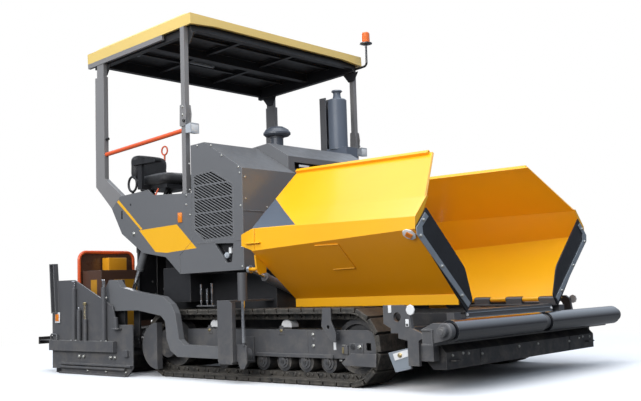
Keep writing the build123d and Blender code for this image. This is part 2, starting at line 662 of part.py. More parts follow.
def cooler_housing():
    """Tall right housing over the coolers, with the grille's opening and a sunk lamp tray."""
    shape = [(HOUSE_REAR, 1155), (HOUSE_REAR, HOUSE_TOP - 8), (HOUSE_RIDGE_X, HOUSE_TOP),
             (HOUSE_FRONT, HOUSE_EAVE), (HOUSE_FRONT, 890), (HOUSE_REAR - 160, DECK_SKIRT_Z),
             (HOUSE_REAR - 160, 1040)]
    body = across(outline(shape), HOUSE_IN, SIDE)
    rear = HOUSE_REAR + SHEET
    front = HOUSE_FRONT - SHEET
    hollow = [(rear, 1180), (rear, HOUSE_TOP - 30), (HOUSE_RIDGE_X, HOUSE_TOP - 22), (front, HOUSE_EAVE - 14),
              (front, 700), (rear, 700)]
    body -= across(outline(hollow), HOUSE_IN + SHEET, SIDE - SHEET)
    body -= across(offset(grille_outline(), amount=SEAT, kind=Kind.INTERSECTION), SIDE - SHEET, SIDE)
    x = HOUSE_FRONT - 117
    recess = outline([(x - 222, 1118), (x, 1110), (x - 24, 956), (x - 89, 951)])
    body += across(offset(recess, amount=PLATE, kind=Kind.INTERSECTION), SIDE - 70, SIDE - SHEET)
    body -= across(recess, SIDE - 70 + PLATE, SIDE)
    return right(body)


def cooler_grille():
    """Slotted panel of the cooler housing: slanting slots in bands, with plain bars between."""
    face = grille_outline()
    window = offset(face, amount=-SLOT_W, kind=Kind.INTERSECTION)
    x0 = HOUSE_REAR - 120
    step = (GRILLE_TOP - GRILLE_LOW) / GRILLE_BANDS
    count = int((HOUSE_FRONT - x0 + 120) / SLOT_PITCH)
    for band in range(GRILLE_BANDS):
        middle = GRILLE_LOW + (band + 0.5) * step
        strips = [Pos(x0 + index * SLOT_PITCH, middle) * Rot(0, 0, SLOT_SLANT) * Rectangle(320, SLOT_W)
                  for index in range(count)]
        band_face = Rectangle(HOUSE_FRONT - HOUSE_REAR, step - SLOT_W)
        bars = Pos((HOUSE_REAR + HOUSE_FRONT) / 2, middle) * band_face
        face -= Sketch() + strips & bars & window
    return right(across(face, SIDE - GRILLE_T, SIDE))


def left_house_outline():
    """Side outline of the lower left housing."""
    return [(HOUSE_REAR, 1155), (HOUSE_REAR, HOUSE_EAVE + 60), (HOUSE_RIDGE_X, HOUSE_EAVE + 80),
            (HOUSE_FRONT, HOUSE_EAVE - 60), (HOUSE_FRONT, 890), (HOUSE_REAR - 160, DECK_SKIRT_Z),
            (HOUSE_REAR - 160, 1040)]


def left_housing():
    """Lower left housing beside the engine hood."""
    body = across(outline(left_house_outline()), HOUSE_IN, SIDE)
    rear = HOUSE_REAR + SHEET
    front = HOUSE_FRONT - SHEET
    hollow = [(rear, 1180), (rear, HOUSE_EAVE + 38), (HOUSE_RIDGE_X, HOUSE_EAVE + 58),
              (front, HOUSE_EAVE - 76), (front, 700), (rear, 700)]
    return body - across(outline(hollow), HOUSE_IN + SHEET, SIDE - SHEET)


def hood_outline():
    """Side outline of the engine hood."""
    rear = HOUSE_REAR + 100
    front = HOUSE_FRONT - 80
    return [(rear, CHASSIS_TOP), (rear, CENTRE_TOP - 20), (HOUSE_RIDGE_X + 134, CENTRE_TOP),
            (front, CENTRE_TOP - 140), (front, CHASSIS_TOP)]


def centre_hood():
    """Engine hood between the side housings, open below, with an air slot across its front."""
    hollow = [(HOUSE_REAR + 120, CHASSIS_TOP - 40), (HOUSE_REAR + 120, CENTRE_TOP - 42),
              (HOUSE_RIDGE_X + 134, CENTRE_TOP - 22), (HOUSE_FRONT - 100, CENTRE_TOP - 152),
              (HOUSE_FRONT - 100, CHASSIS_TOP - 40)]
    half = HOUSE_IN - 2
    hood = across(outline(hood_outline()), -half, half) - across(outline(hollow), -half + SHEET, half - SHEET)
    front = HOUSE_FRONT - 80
    return hood - block(front - 30, front + 10, 80 - half, half - 80, CENTRE_TOP - 250, CENTRE_TOP - 190)


def engine():
    """Engine as one plain block on the chassis."""
    return block(HOUSE_REAR + 150, HOUSE_FRONT - 130, -430, 430, CHASSIS_TOP + SEAT, CHASSIS_TOP + 640)


def side_panel():
    """Left side panel of the deck, slanting down at its rear."""
    shape = [(-1223, 1622), (-819, 1644), (-749, 1592), (HOUSE_REAR - 2, 1565), (HOUSE_REAR - 2, 1157),
             (-392, 1042), (-392, DECK_SKIRT_Z), (-580, 1033), (-902, 1086), (-1200, 1274), (-1347, 1515)]
    return across(outline(shape), SIDE - SHEET, SIDE)


def platform():
    """Operator's floor with its rear and cross walls and side tanks, carried on the chassis."""
    half = SIDE - SHEET
    under = DECK_Z - 20
    floor = block(DECK_REAR, HOUSE_REAR, -half, half, under, DECK_Z)
    floor += block(DECK_REAR + 60, DECK_REAR + 80, -CHASSIS_HALF, CHASSIS_HALF, 1100, under)
    x0, x1 = TANK_X
    side = block(DECK_REAR + 200, HOUSE_REAR - 170, CHASSIS_HALF - 40, CHASSIS_HALF, CHASSIS_TOP, under)
    side += block(x0, x1, CHASSIS_HALF + SEAT, LIFT_Y - 60, 640, CHASSIS_TOP + 60)
    side += block(x0, x1, CHASSIS_HALF, CHASSIS_HALF + 60, CHASSIS_TOP + 60, under)
    side += block(DECK_REAR + 60, DECK_REAR + 80, CHASSIS_HALF, LIFT_Y - 80, 1100, under)
    return floor + side + right(side)


def roof_rim(x, drop):
    """Height of the roof's lower rim at x, less a drop."""
    return ROOF_LOW + (x - ROOF_REAR) * ROOF_RISE / ROOF_LENGTH - drop


def roof_posts():
    """Two broad rear posts with slanting feet and a slimmer head, and two front posts with knees."""
    x0 = REAR_POST_X - REAR_POST_W / 2
    x1 = REAR_POST_X + REAR_POST_W / 2
    rear = outline([(x0, POST_STEP_Z), (x0, 1745), (DECK_REAR - 10, 1396), (DECK_REAR + 11, 1626), (x1, 1815),
                    (x1, POST_STEP_Z)])
    drop = TRIM_DROP + 1
    head = outline([(x0 + 16, POST_STEP_Z), (x1 - 16, POST_STEP_Z), (x1 - 16, roof_rim(x1 - 16, drop)),
                    (x0 + 16, roof_rim(x0 + 16, drop))])
    post = across(rear, POST_IN, POST_IN + POST_T) + across(head, POST_IN, POST_IN + POST_T - 10)
    x0 = FRONT_POST_X - POST_T / 2
    x1 = FRONT_POST_X + POST_T / 2
    slim = outline([(x0, DECK_Z), (x1, DECK_Z), (x1, roof_rim(x1, 1)), (x0, roof_rim(x0, 1))])
    front = across(slim, POST_IN, POST_IN + POST_T)
    knee = outline([(x0 - 16, KNEE_Z - 90), (x1 + 8, KNEE_Z - 90), (x1 + 20, KNEE_Z + 20),
                    (x1 + 8, KNEE_Z + 100), (x0 - 10, KNEE_Z + 100)], 12)
    front += across(knee, POST_IN - 8, POST_IN) + across(knee, POST_IN + POST_T, POST_IN + POST_T + 8)
    return both(post) + both(front)


def work_lamp():
    """Work lamp in front of the left front post."""
    x = FRONT_POST_X + POST_T / 2 + SEAT
    y = POST_IN + POST_T / 2
    back = x + 28
    case = outline([(back, LAMP_Z - 38), (x + 95, LAMP_Z - 44), (x + 95, LAMP_Z + 44), (back, LAMP_Z + 30)])
    return across(case, y - 48, y + 48) + block(x, back, y - 14, y + 14, LAMP_Z - 20, LAMP_Z + 14)


def roof_tilt(shape):
    """Sets a roof piece, drawn level from the roof's rear edge, at the roof's rise."""
    return Pos(ROOF_REAR, 0, ROOF_LOW) * Rot(0, -degrees(atan2(ROOF_RISE, ROOF_LENGTH)), 0) * shape


def roof():
    """Roof shell: a fascia bowed over its middle, and three raised panels with grooves between."""
    half = ROOF_HALF
    top = ROOF_EDGE
    third = 2 * half / 3
    section = [(-half, 0), (-half, top)]
    for index in range(3):
        y0 = -half + index * third
        section += [(y0 + 26, top), (y0 + 86, top + ROOF_CROWN), (y0 + third - 86, top + ROOF_CROWN),
                    (y0 + third - 26, top)]
    section += [(half, top), (half, 0), (half - 300, ROOF_BOW), (300 - half, ROOF_BOW)]
    shell = along(outline(section), 0, ROOF_LENGTH)
    for x, run in ((0, 90), (ROOF_LENGTH, -170)):
        slope = outline([(x, top), (x + run, top + ROOF_CROWN), (x + run, 2 * top), (x, 2 * top)])
        shell -= across(slope, -half, half)
    wall = ROOF_WALL
    shell -= block(wall, ROOF_LENGTH - wall, wall - half, half - wall, -1, top - ROOF_SKIN)
    return roof_tilt(shell)


def roof_frame():
    """Dark lining under the roof with its ribs, side beams, gussets and the trim strips outside."""
    top = ROOF_EDGE - ROOF_SKIN
    rim = ROOF_WALL + SEAT
    frame = block(rim, ROOF_LENGTH - rim, rim - ROOF_HALF, ROOF_HALF - rim, top - 10, top)
    low = -60
    beam_out = POST_IN - 1
    beam_in = beam_out - 50
    for x, width, depth in ((50, 50, -30), (420, 30, 40), (ROOF_LENGTH / 2, 60, -20), (1110, 30, 40),
                            (ROOF_LENGTH - 110, 60, -30)):
        frame += block(x, x + width, -beam_in, beam_in, depth, top - 10)
    side = block(50, ROOF_LENGTH - 50, beam_in, beam_out, low, top - 10)
    side += block(50, ROOF_LENGTH - 50, 350, 390, 24, top - 10)
    for x in (REAR_POST_X - ROOF_REAR, FRONT_POST_X - ROOF_REAR):
        gusset = outline([(x - 100, low + 1), (x - 36, low - 90), (x + 36, low - 90), (x + 100, low + 1)])
        side += across(gusset, beam_out - PLATE, beam_out)
    trim = block(0, TRIM_LENGTH, ROOF_HALF - ROOF_WALL, ROOF_HALF, -TRIM_DROP, -SEAT)
    return [roof_tilt(frame + side + right(side))] + both(roof_tilt(trim))


def seat_base():
    """Stand of the left seat: foot, crossed arms, top plate, and an armrest on its post."""
    top = DECK_Z + 380
    x, y = SEAT_X, SEAT_Y
    stand = block(x - 160, x + 160, y - 130, y + 130, DECK_Z, DECK_Z + 50)
    stand += block(x - 190, x + 190, y - 180, y + 180, top - 36, top)
    for side in (y - 120, y + 90):
        for sign in (-1, 1):
            arm = outline([(x - sign * 150, DECK_Z + 40), (x - sign * 110, DECK_Z + 40),
                           (x + sign * 150, top - 30), (x + sign * 110, top - 30)])
            stand += across(arm, side, side + 30)
    stand += block(x - 90, x - 30, y + 180, y + 290, top - 36, top)
    stand += block(x - 90, x - 30, y + 260, y + 290, top, top + 190)
    pad = outline([(x - 150, top + 190), (x + 190, top + 190), (x + 190, top + 226), (x - 150, top + 240)],
                  14)
    return stand + across(pad, y + 240, y + 310)


def seat_cushions():
    """Cushion and backrest of the left seat, plain and clear of the stand."""
    low = DECK_Z + 380 + SEAT
    base = block(SEAT_X - 230, SEAT_X + 240, SEAT_Y - 230, SEAT_Y + 230, low, low + 110)
    back = block(SEAT_X - 340, SEAT_X - 230 - SEAT, SEAT_Y - 220, SEAT_Y + 220, low + 60, low + 330)
    return [base, back]


def console():
    """Operator's console between the seats: foot, leaning desk, wheel and two levers."""
    stand = block(-520, -420, -60, 60, DECK_Z, DECK_Z + 500)
    low = DECK_Z + 500
    desk = outline([(-620, low), (-330, low), (-330, low + 180), (-560, low + 60), (-620, low + 50)])
    body = stand + across(desk, -360, 360)
    for y in (-250, 250):
        body += disc_z(-520, y, 12, low + 50, low + 190) + disc_z(-520, y, 24, low + 190, low + 230)
    return body


def hand_rail():
    """Orange bar between the left posts."""
    y = POST_IN + POST_T / 2
    rear = REAR_POST_X + REAR_POST_W / 2 + SEAT
    front = FRONT_POST_X - POST_T / 2 - SEAT
    rail = bar((rear - 40, y, 2044), (front + 40, y, 2133), 20)
    return rail & block(rear, front, POST_IN, POST_IN + POST_T, 2000, 2200)


def exhaust():
    """Exhaust stack on the left housing: box foot, drum, necked outlet with cap, and heat shield."""
    x, y, radius = EXHAUST_X, EXHAUST_Y, EXHAUST_R
    foot = block(x - 90, x + 160, HOUSE_IN + 4, y + 100, HOUSE_EAVE, EXHAUST_LOW)
    foot -= across(outline(left_house_outline()), HOUSE_IN, SIDE)
    low, high = EXHAUST_LOW, EXHAUST_HIGH
    drum = turned([(0, low - 10), (radius, low - 10), (radius, high - 12), (radius - 12, high),
                   (45, high + 10), (38, high + 40), (38, high + 66), (56, high + 80), (50, high + 92),
                   (0, high + 96)], x, y)
    rear = x - radius
    shield = block(rear - 95, rear - 15, y - 52, y + 52, CENTRE_TOP - 30, high + 30)
    shield -= block(rear - 85, rear, y - 42, y + 42, CENTRE_TOP - 40, high + 40)
    for z in (low + 60, high - 80):
        shield += block(rear - 90, rear + 10, y - 15, y + 15, z, z + 40)
    return foot + drum + shield


def air_intake():
    """Mushroom cap of the air intake on the centre hood."""
    x, y, low = INTAKE_X, INTAKE_Y, CENTRE_TOP
    cap = turned([(0, low - 60), (57, low - 60), (57, low + 80), (66, low + 84), (66, low + 98),
                  (108, low + 98), (125, low + 112), (125, low + 128), (104, low + 158), (62, low + 182),
                  (0, low + 189)], x, y)
    return cap - across(outline(hood_outline()), -HOUSE_IN, HOUSE_IN)


def beacon():
    """Beacon on a bent stalk from the roof's front left corner."""
    x, y = ROOF_FRONT + 99, ROOF_HALF - 45
    low = ROOF_LOW + 64
    top = ROOF_LOW + 430
    root = POST_IN - 1
    stalk = tube([(ROOF_FRONT - 60, root + 13, low), (x, y, low + 10), (x, y, top - 120)], 12, 40)
    lens = turned([(0, top - 132), (40, top - 132), (66, top - 124), (66, top - 114), (44, top - 104),
                   (42, top - 12), (34, top), (0, top)], x, y)
    return stalk + lens


def tow_arm():
    """Left tow arm, a deep plate that steps down round the drive guard to the tow pin."""
    front, drive = SCREED_FRONT, SPROCKET_X
    top = [(front + 122, 854), (front + 189, 785), (front + 425, 738), (drive + 104, 692), (drive + 212, 627),
           (drive + 264, 550), (drive + 311, 329), (drive + 373, 288), (TOW_X, TOW_Z + 46)]
    low = [(TOW_X, TOW_Z - 46), (drive + 286, 187), (drive + 196, 237), (drive + 150, 334),
           (drive + 132, 481), (drive + 78, 530), (drive - 239, 578), (front + 122, 575)]
    rear = [(front - 30, 575), (front - 30, 800), (front + 10, 854)]
    arm = across(outline(top + low + rear), ARM_IN, ARM_OUT) + disc_y(TOW_X, TOW_Z, 46, ARM_IN, ARM_OUT)
    arm -= disc_y(TOW_X, TOW_Z, TOW_PIN_R + RUN_FIT, ARM_IN, ARM_OUT)
    stub = disc_y(*LIFT_LUG, LIFT_PIN_R, LIFT_Y - 24, ARM_IN)
    return arm + stub


def tow_guide():
    """Left guide column, its foot and top plates, the tow plate with its pin, and the levelling cylinder."""
    x0 = COLUMN_X
    x1 = COLUMN_X + COLUMN_W
    column = block(x0, x1, COLUMN_OUT - PLATE, COLUMN_OUT, COLUMN_LOW, COLUMN_TOP)
    column += block(x0, x0 + 20, ARM_OUT + 6, COLUMN_OUT, COLUMN_LOW, COLUMN_TOP)
    column += block(x1 - PLATE, x1, ARM_OUT + 26, COLUMN_OUT, COLUMN_LOW, COLUMN_TOP)
    column += block(x0, x1 - 20, ARM_OUT + 6, COLUMN_OUT, COLUMN_TOP, COLUMN_TOP + 16)
    column += block(x0, x1 - 60, CHASSIS_HALF, ARM_OUT + 6, COLUMN_TOP, COLUMN_TOP + 16)
    beam = TRACK_MID + BEAM_HALF
    column += block(x0 + 10, x1 - 10, beam, COLUMN_OUT, COLUMN_LOW - 15, COLUMN_LOW)
    column += block(x0 + 10, x1 - 10, beam, beam + 14, COLUMN_LOW - 15, BEAM_TOP - 60)
    tow = outline([(x0 + 26, 172), (x1 + 12, 172), (TOW_X - 10, 112), (TOW_X + 30, 112), (TOW_X + 62, 160),
                   (TOW_X + 62, 300), (x0 + 26, 300)], 12)
    plate = across(tow, ARM_OUT + 8, ARM_OUT + 22) + disc_y(TOW_X, TOW_Z, TOW_PIN_R, ARM_IN - 5, ARM_OUT + 20)
    shoe = block(x0 + 26, x1 - PLATE - 5, ARM_OUT + 22, COLUMN_OUT - PLATE - SEAT, 172, 290)
    rod = disc_z(LEVEL_X, LEVEL_Y, LEVEL_ROD_R, 290, LEVEL_LOW)
    barrel = disc_z(LEVEL_X, LEVEL_Y, LEVEL_R, LEVEL_LOW, LEVEL_TOP)
    return column, plate + shoe + rod, barrel


def lift_cylinder():
    """Left screed lift cylinder: barrel and rod, in the plane along the machine beside the arm."""
    dx = LIFT_LUG[0] - LIFT_PIVOT[0]
    dz = LIFT_LUG[1] - LIFT_PIVOT[1]
    plane = Plane(origin=(LIFT_PIVOT[0], LIFT_Y, LIFT_PIVOT[1]), x_dir=(dx, 0, dz), z_dir=(0, 1, 0))
    barrel = cylinder_barrel(LIFT_BARREL_L, LIFT_BARREL_R, LIFT_PIN_R)
    bore = Rot(0, 90, 0) * Cylinder(LIFT_ROD_R + RUN_FIT, LIFT_BARREL_L)
    barrel -= Pos(LIFT_BARREL_L / 2 + 20, 0, 0) * bore
    rod = cylinder_rod(LIFT_BARREL_L - 40, hypot(dx, dz), LIFT_ROD_R, LIFT_PIN_R)
    return plane.location * barrel, plane.location * rod


def screed_body():
    """Main screed: sole plate, box with end plates bored for the guide tubes, and the arm brackets."""
    front, rear, half = SCREED_FRONT, SCREED_REAR, SCREED_HALF
    box = block(rear, front, -half, half, SOLE_T, SCREED_TOP)
    box -= block(rear + PLATE, front - PLATE, -half + 30, half - 30, SOLE_T + PLATE, SCREED_TOP - PLATE)
    box += block(rear, front, -half, half, 0, SOLE_T)
    nose = outline([(front, 20), (front + 24, 50), (front + 24, 160), (front, 190)])
    box += across(nose, -half, half)
    for wall in (-250, 250):
        box += block(rear + PLATE, front - PLATE, wall - 10, wall + 10, SOLE_T, SCREED_TOP)
    ear = outline([(rear, SCREED_TOP), (front + 160, SCREED_TOP), (front + 160, 575), (front + 122, 854),
                   (front + 10, 854), (front - 150, 600), (rear, 560)])
    bracket = across(ear, SCREED_HALF, ARM_IN)
    bracket += block(rear, front, SCREED_HALF, ARM_IN, SOLE_T, SCREED_TOP)
    bracket -= disc_y(*LIFT_LUG, LIFT_PIN_R + RUN_FIT, SCREED_HALF, ARM_IN)
    for x, z in GUIDE_XZ:
        box -= disc_y(x, z, GUIDE_R + RUN_FIT, -half, half)
        bracket -= disc_y(x, z, GUIDE_R + RUN_FIT, SCREED_HALF, ARM_IN)
    return box + bracket + right(bracket)


def screed_extension():
    """Left extending screed behind the main one, on two guide tubes."""
    front = SCREED_REAR - EXT_GAP
    box = block(EXT_REAR, front, EXT_IN, EXT_OUT, 0, SCREED_TOP)
    box -= block(EXT_REAR + PLATE, front - PLATE, EXT_IN + PLATE, EXT_OUT - PLATE, SOLE_T, SCREED_TOP - PLATE)
    return box


def end_gate():
    """Left end gate: plate, sprung skid, box beam with its spring columns, and the handle post."""
    out = GATE_IN + GATE_T
    plate = outline([(GATE_REAR, 100), (GATE_FRONT, 100), (GATE_FRONT, 452), (GATE_FRONT - 230, 452),
                     (GATE_FRONT - 290, 620), (SCREED_REAR - 70, 870), (GATE_REAR, 870)])
    gate = across(plate, GATE_IN, out)
    low, high = GATE_BEAM
    gate += block(GATE_REAR, GATE_FRONT - 227, out, out + 40, low, high)
    gate += block(GATE_REAR, SCREED_REAR - 10, EXT_OUT, GATE_IN, 40, SCREED_TOP)
    skid = outline([(GATE_REAR + 150, 0), (GATE_FRONT - 80, 0), (GATE_FRONT, 70), (GATE_FRONT, 100),
                    (GATE_REAR + 150, 100)])
    gate += across(skid, GATE_IN, out)
    gate += block(GATE_REAR + 150, GATE_FRONT - 80, out, out + 34, 0, 12)
    gate += block(GATE_REAR + 150, GATE_FRONT, out, out + 34, 84, 100)
    gate += disc_x(out + 14, 60, 15, GATE_REAR + 160, GATE_FRONT - 90)
    gate += block(GATE_REAR, GATE_REAR + 150, GATE_IN, out, 40, 100)
    for x in SPRING_XS:
        gate += disc_z(x, out + 22, SPRING_R, high, SPRING_TOP - 60)
    gate += disc_z(SCREW_X, out + 22, 18, high, 500)
    rear = EXT_REAR
    post = outline([(rear + 10, 560), (rear + 90, 560), (rear + 50, 1033), (rear - 20, 1033)])
    leaning = across(post, GATE_IN - 6, out + 34) - across(offset(post, amount=-10), out, out + 34)
    gate += leaning - block(GATE_REAR, GATE_REAR + 200, GATE_IN - 6, GATE_IN, 500, 870)
    x0 = GATE_FRONT - 110
    boss = outline([(x0, 172), (x0 + 60, 172), (x0 + 60, 232), (x0, 232)], 6)
    return gate + across(boss, out, out + 24)


def gate_rods():
    """Bright rods that stand out of the left gate's spring columns, and its threaded rod."""
    y = GATE_IN + GATE_T + 22
    rods = [disc_z(x, y, 15, SPRING_TOP - 60 + SEAT, SPRING_TOP) for x in SPRING_XS]
    return rods + [disc_z(SCREW_X, y, 9, 500 + SEAT, 640)]


def guide_tubes():
    """Two guide tubes of the left extension, held by its end gate."""
    return [disc_y(x, z, GUIDE_R, GUIDE_END, GATE_IN) for x, z in GUIDE_XZ]


def walkway():
    """Left step behind the extension, with its upturned rear edge."""
    step = block(WALK_REAR, EXT_REAR, EXT_IN, EXT_OUT, 290, 302)
    step += block(WALK_REAR, WALK_REAR + 12, EXT_IN, EXT_OUT, 260, 330)
    for y in (EXT_IN + 40, (EXT_IN + EXT_OUT) / 2, EXT_OUT - 52):
        step += across(outline([(EXT_REAR, 180), (EXT_REAR, 290), (WALK_REAR + 60, 290)]), y, y + 12)
    return step


def rail():
    """Orange hoop rail over the left half of the screed."""
    x = RAIL_X
    y0, y1 = RAIL_Y
    return tube([(x, y0, SCREED_TOP), (x, y0, RAIL_TOP), (x, y1, RAIL_TOP), (x, y1, SCREED_TOP)], 17, 80)


def cabinet():
    """Left control cabinet on the extension."""
    return block(*CABINET_X, 450, 1050, SCREED_TOP, 960)


def flight(sign):
    """Left auger flight as a closed band of flat facets round the shaft."""
    steps = 16
    turns = (AUGER_OUT - AUGER_IN) / AUGER_LEAD
    count = int(turns * steps)
    inner = AUGER_SHAFT_R + SEAT

    def corner(index, radius, shift):
        angle = sign * 2 * pi * index / steps
        y = AUGER_IN + 5 + index * AUGER_LEAD / steps + shift
        return Vector(AUGER_X + radius * cos(angle), y, AUGER_Z + radius * sin(angle))

    faces = []
    section = ((inner, 0), (AUGER_R, 0), (AUGER_R, FLIGHT_T), (inner, FLIGHT_T))
    for index in range(count - 1):
        a = [corner(index, radius, shift) for radius, shift in section]
        b = [corner(index + 1, radius, shift) for radius, shift in section]
        for k in range(4):
            n = (k + 1) % 4
            faces.append(Face(Wire.make_polygon([a[k], a[n], b[n]], close=True)))
            faces.append(Face(Wire.make_polygon([a[k], b[n], b[k]], close=True)))
        if index == 0:
            faces.append(Face(Wire.make_polygon(a, close=True)))
        if index == count - 2:
            faces.append(Face(Wire.make_polygon(b, close=True)))
    return Solid(Shell(faces))


def auger_shaft():
    """Left auger shaft."""
    return disc_y(AUGER_X, AUGER_Z, AUGER_SHAFT_R, AUGER_SHAFT_IN, AUGER_OUT + 26)


def auger_mount():
    """Drive case in the middle of the augers and their outer hangers, hung from the chassis."""
    x = AUGER_X
    case = block(x - 60, x + 60, -AUGER_IN + 5, AUGER_IN - 5, AUGER_Z - 110, HEADER_LOW + 80)
    case += block(x - 60, CHASSIS_REAR - HEADER_D, -AUGER_IN + 5, AUGER_IN - 5, HEADER_LOW, HEADER_LOW + 80)
    case -= disc_y(x, AUGER_Z, AUGER_SHAFT_R + RUN_FIT, AUGER_SHAFT_IN - 5, AUGER_IN)
    case -= disc_y(x, AUGER_Z, AUGER_SHAFT_R + RUN_FIT, -AUGER_IN, -AUGER_SHAFT_IN + 5)
    hanger = block(x - 40, x + 40, AUGER_OUT + 6, AUGER_OUT + 26, AUGER_Z - 60, AUGER_Z + 300)
    hanger += block(x - 40, x + 40, CHASSIS_HALF - 100, AUGER_OUT + 26, AUGER_Z + 260, AUGER_Z + 300)
    hanger += block(x - 40, CHASSIS_REAR, CHASSIS_HALF - 100, CHASSIS_HALF, AUGER_Z + 260, AUGER_Z + 300)
    hanger -= disc_y(x, AUGER_Z, AUGER_SHAFT_R + RUN_FIT, AUGER_OUT, AUGER_OUT + 30)
    return case + hanger + right(hanger)


def lift_bracket():
    """Left bracket and pin of the screed lift cylinder under the deck."""
    x, z = LIFT_PIVOT
    plate = outline([(x - 60, DECK_Z - 20), (x - 40, z), (x, z - 40), (x + 40, z), (x + 60, DECK_Z - 20)])
    inner = LIFT_Y - 60
    return across(plate, inner, inner + 16) + disc_y(x, z, LIFT_PIN_R, inner, LIFT_Y + 14)


os.makedirs("parts", exist_ok=True)

save("main_frame", main_frame())
save("wing_pivots", both(wing_pivot()))
save("track_frames", both(track_frame()))
left_track = track()
save("track_left", left_track)
save("track_right", right(left_track))
wheels = track_wheels()
save("track_wheels", wheels, [right(wheel) for wheel in wheels])
save("drive_covers", both(drive_cover()))
save("hopper_floor", hopper_floor())
lane = conveyor()
save("conveyors", lane, [right(piece) for piece in lane])
save("front_beam", front_frame())
save("push_beam", push_beam())
roller = push_roller()
save("push_roller_left", roller)
save("push_roller_right", right(roller))
wing = hopper_wing()
save("hopper_wing_left", wing)
save("hopper_wing_right", right(wing))
flap = hopper_flap()
save("hopper_flap_left", flap)
save("hopper_flap_right", right(flap))
barrel, rod = wing_cylinder()
save("wing_barrel_left", barrel)
save("wing_barrel_right", right(barrel))
save("wing_rod_left", rod)
save("wing_rod_right", right(rod))
save("cooler_housing", cooler_housing())
save("cooler_grille", cooler_grille())
save("left_housing", left_housing())
save("centre_hood", centre_hood())
save("engine", engine())
save("side_panels", both(side_panel()))
save("platform", platform() + lift_bracket() + right(lift_bracket()))
save("roof_posts", roof_posts())
save("roof", roof())
save("roof_frame", roof_frame())
save("work_lamps", both(work_lamp()))
save("seat_frames", both(seat_base()))
left_seat = seat_cushions()
save("seat_cushions", left_seat, [right(piece) for piece in left_seat])
save("console", console())
save("hand_rails", both(hand_rail()))
save("exhaust_stack", exhaust())
save("air_intake", air_intake())
save("beacon", beacon())
column, plate, level_barrel = tow_guide()
save("tow_guides", both(column))
save("tow_plates", both(plate))
save("level_barrels", both(level_barrel))
save("tow_arms", both(tow_arm()))
barrel, rod = lift_cylinder()
save("lift_barrels", both(barrel))
save("lift_rods", both(rod))
save("screed_body", screed_body())
for name, place in (("left", lambda shape: shape), ("right", right)):
    save(f"screed_extension_{name}", place(screed_extension() + walkway()))
    save(f"end_gate_{name}", place(end_gate() + guide_tubes()))
    save(f"gate_rods_{name}", [place(piece) for piece in gate_rods()])
    save(f"screed_rail_{name}", place(rail()))
    save(f"screed_cabinet_{name}", place(cabinet()))
    save(f"auger_{name}", place(auger_shaft()), place(flight(1)))
save("auger_mount", auger_mount())
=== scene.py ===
import json
import math
from contextlib import contextmanager

import bmesh
import bpy
from mathutils import Matrix, Vector


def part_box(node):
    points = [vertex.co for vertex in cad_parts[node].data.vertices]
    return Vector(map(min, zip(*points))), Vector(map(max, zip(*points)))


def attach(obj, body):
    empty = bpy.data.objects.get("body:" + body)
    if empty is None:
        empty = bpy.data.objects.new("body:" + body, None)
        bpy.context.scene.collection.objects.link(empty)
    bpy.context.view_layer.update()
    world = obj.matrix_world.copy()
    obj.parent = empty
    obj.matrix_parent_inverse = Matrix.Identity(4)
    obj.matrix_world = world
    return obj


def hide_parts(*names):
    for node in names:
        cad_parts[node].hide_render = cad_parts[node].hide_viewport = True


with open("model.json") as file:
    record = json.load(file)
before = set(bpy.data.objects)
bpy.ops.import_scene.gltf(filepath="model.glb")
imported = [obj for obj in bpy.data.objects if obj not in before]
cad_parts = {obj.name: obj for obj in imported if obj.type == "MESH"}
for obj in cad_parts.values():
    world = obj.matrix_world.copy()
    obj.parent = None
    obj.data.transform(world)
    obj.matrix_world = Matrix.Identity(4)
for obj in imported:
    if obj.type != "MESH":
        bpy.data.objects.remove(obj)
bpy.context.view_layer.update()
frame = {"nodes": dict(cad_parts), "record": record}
nodes = frame["nodes"]

# Camera, solved from the photograph. Pixel values belong to a 641 x 401 picture.
PHOTO_WIDTH = 641
PHOTO_HEIGHT = 401
FOCAL_PX = 927.3
CENTRE_PX = (320.9, 199.2)
CAMERA_AT = Vector((5.754, -6.451, 0.736))
CAMERA_YAW = math.radians(40.86)
CAMERA_PITCH = math.radians(5.37)
CAMERA_ROLL = math.radians(-1.83)
SENSOR_MM = 36

# Places that several pieces share, in metres, read from the frame where it holds them
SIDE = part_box("side_panels")[1].y
TRACK_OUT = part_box("track_left")[1].y
BEAM_OUT = TRACK_OUT - 0.052
HINGE_Y = 0.703
HINGE_Z = 0.571
WING_REAR = 0.560
WING_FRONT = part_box("hopper_flap_left")[0].x
WING_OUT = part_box("hopper_wing_left")[1].y
WING_FOOT = HINGE_Z - 0.006
CREASE_REAR = 1.030
CREASE_FRONT = 1.105
EYE_FACE = 1.230
GATE_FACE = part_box("end_gate_left")[1].y - 0.040
BUMPER_FRONT = 2.230
HOUSE_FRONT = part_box("cooler_housing")[1].x
SEAT_TOP = 1.710

# The track's loop: its end axles, its outer radius, its shoes, and the carrier rollers' axles
SPROCKET_X = -0.610
IDLER_X = 1.425
TRACK_RADIUS = 0.2865
SHOES = 44
SHOE_THICK = 0.015
SHOE_GAP = 0.022
CARRIERS = (-0.124, 0.707)

# Axes by number, and the ways that fittings on the right side face along each of them
X, Y, Z = 0, 1, 2
AHEAD, OUT, UP = (1, 0, 0), (0, -1, 0), (0, 0, 1)

# How far a plate is sunk into its face, and half the blur of a painted edge
SUNK = 0.001
BLUR = 0.0015

# A bolt's washer and head, as (height, radius) in units of the bolt's size
WASHER = ((0.0, 1.05), (0.16, 1.05), (0.22, 0.98))
HEAD = ((0.2, 0.86), (0.65, 0.86), (0.82, 0.68))

looks = {}


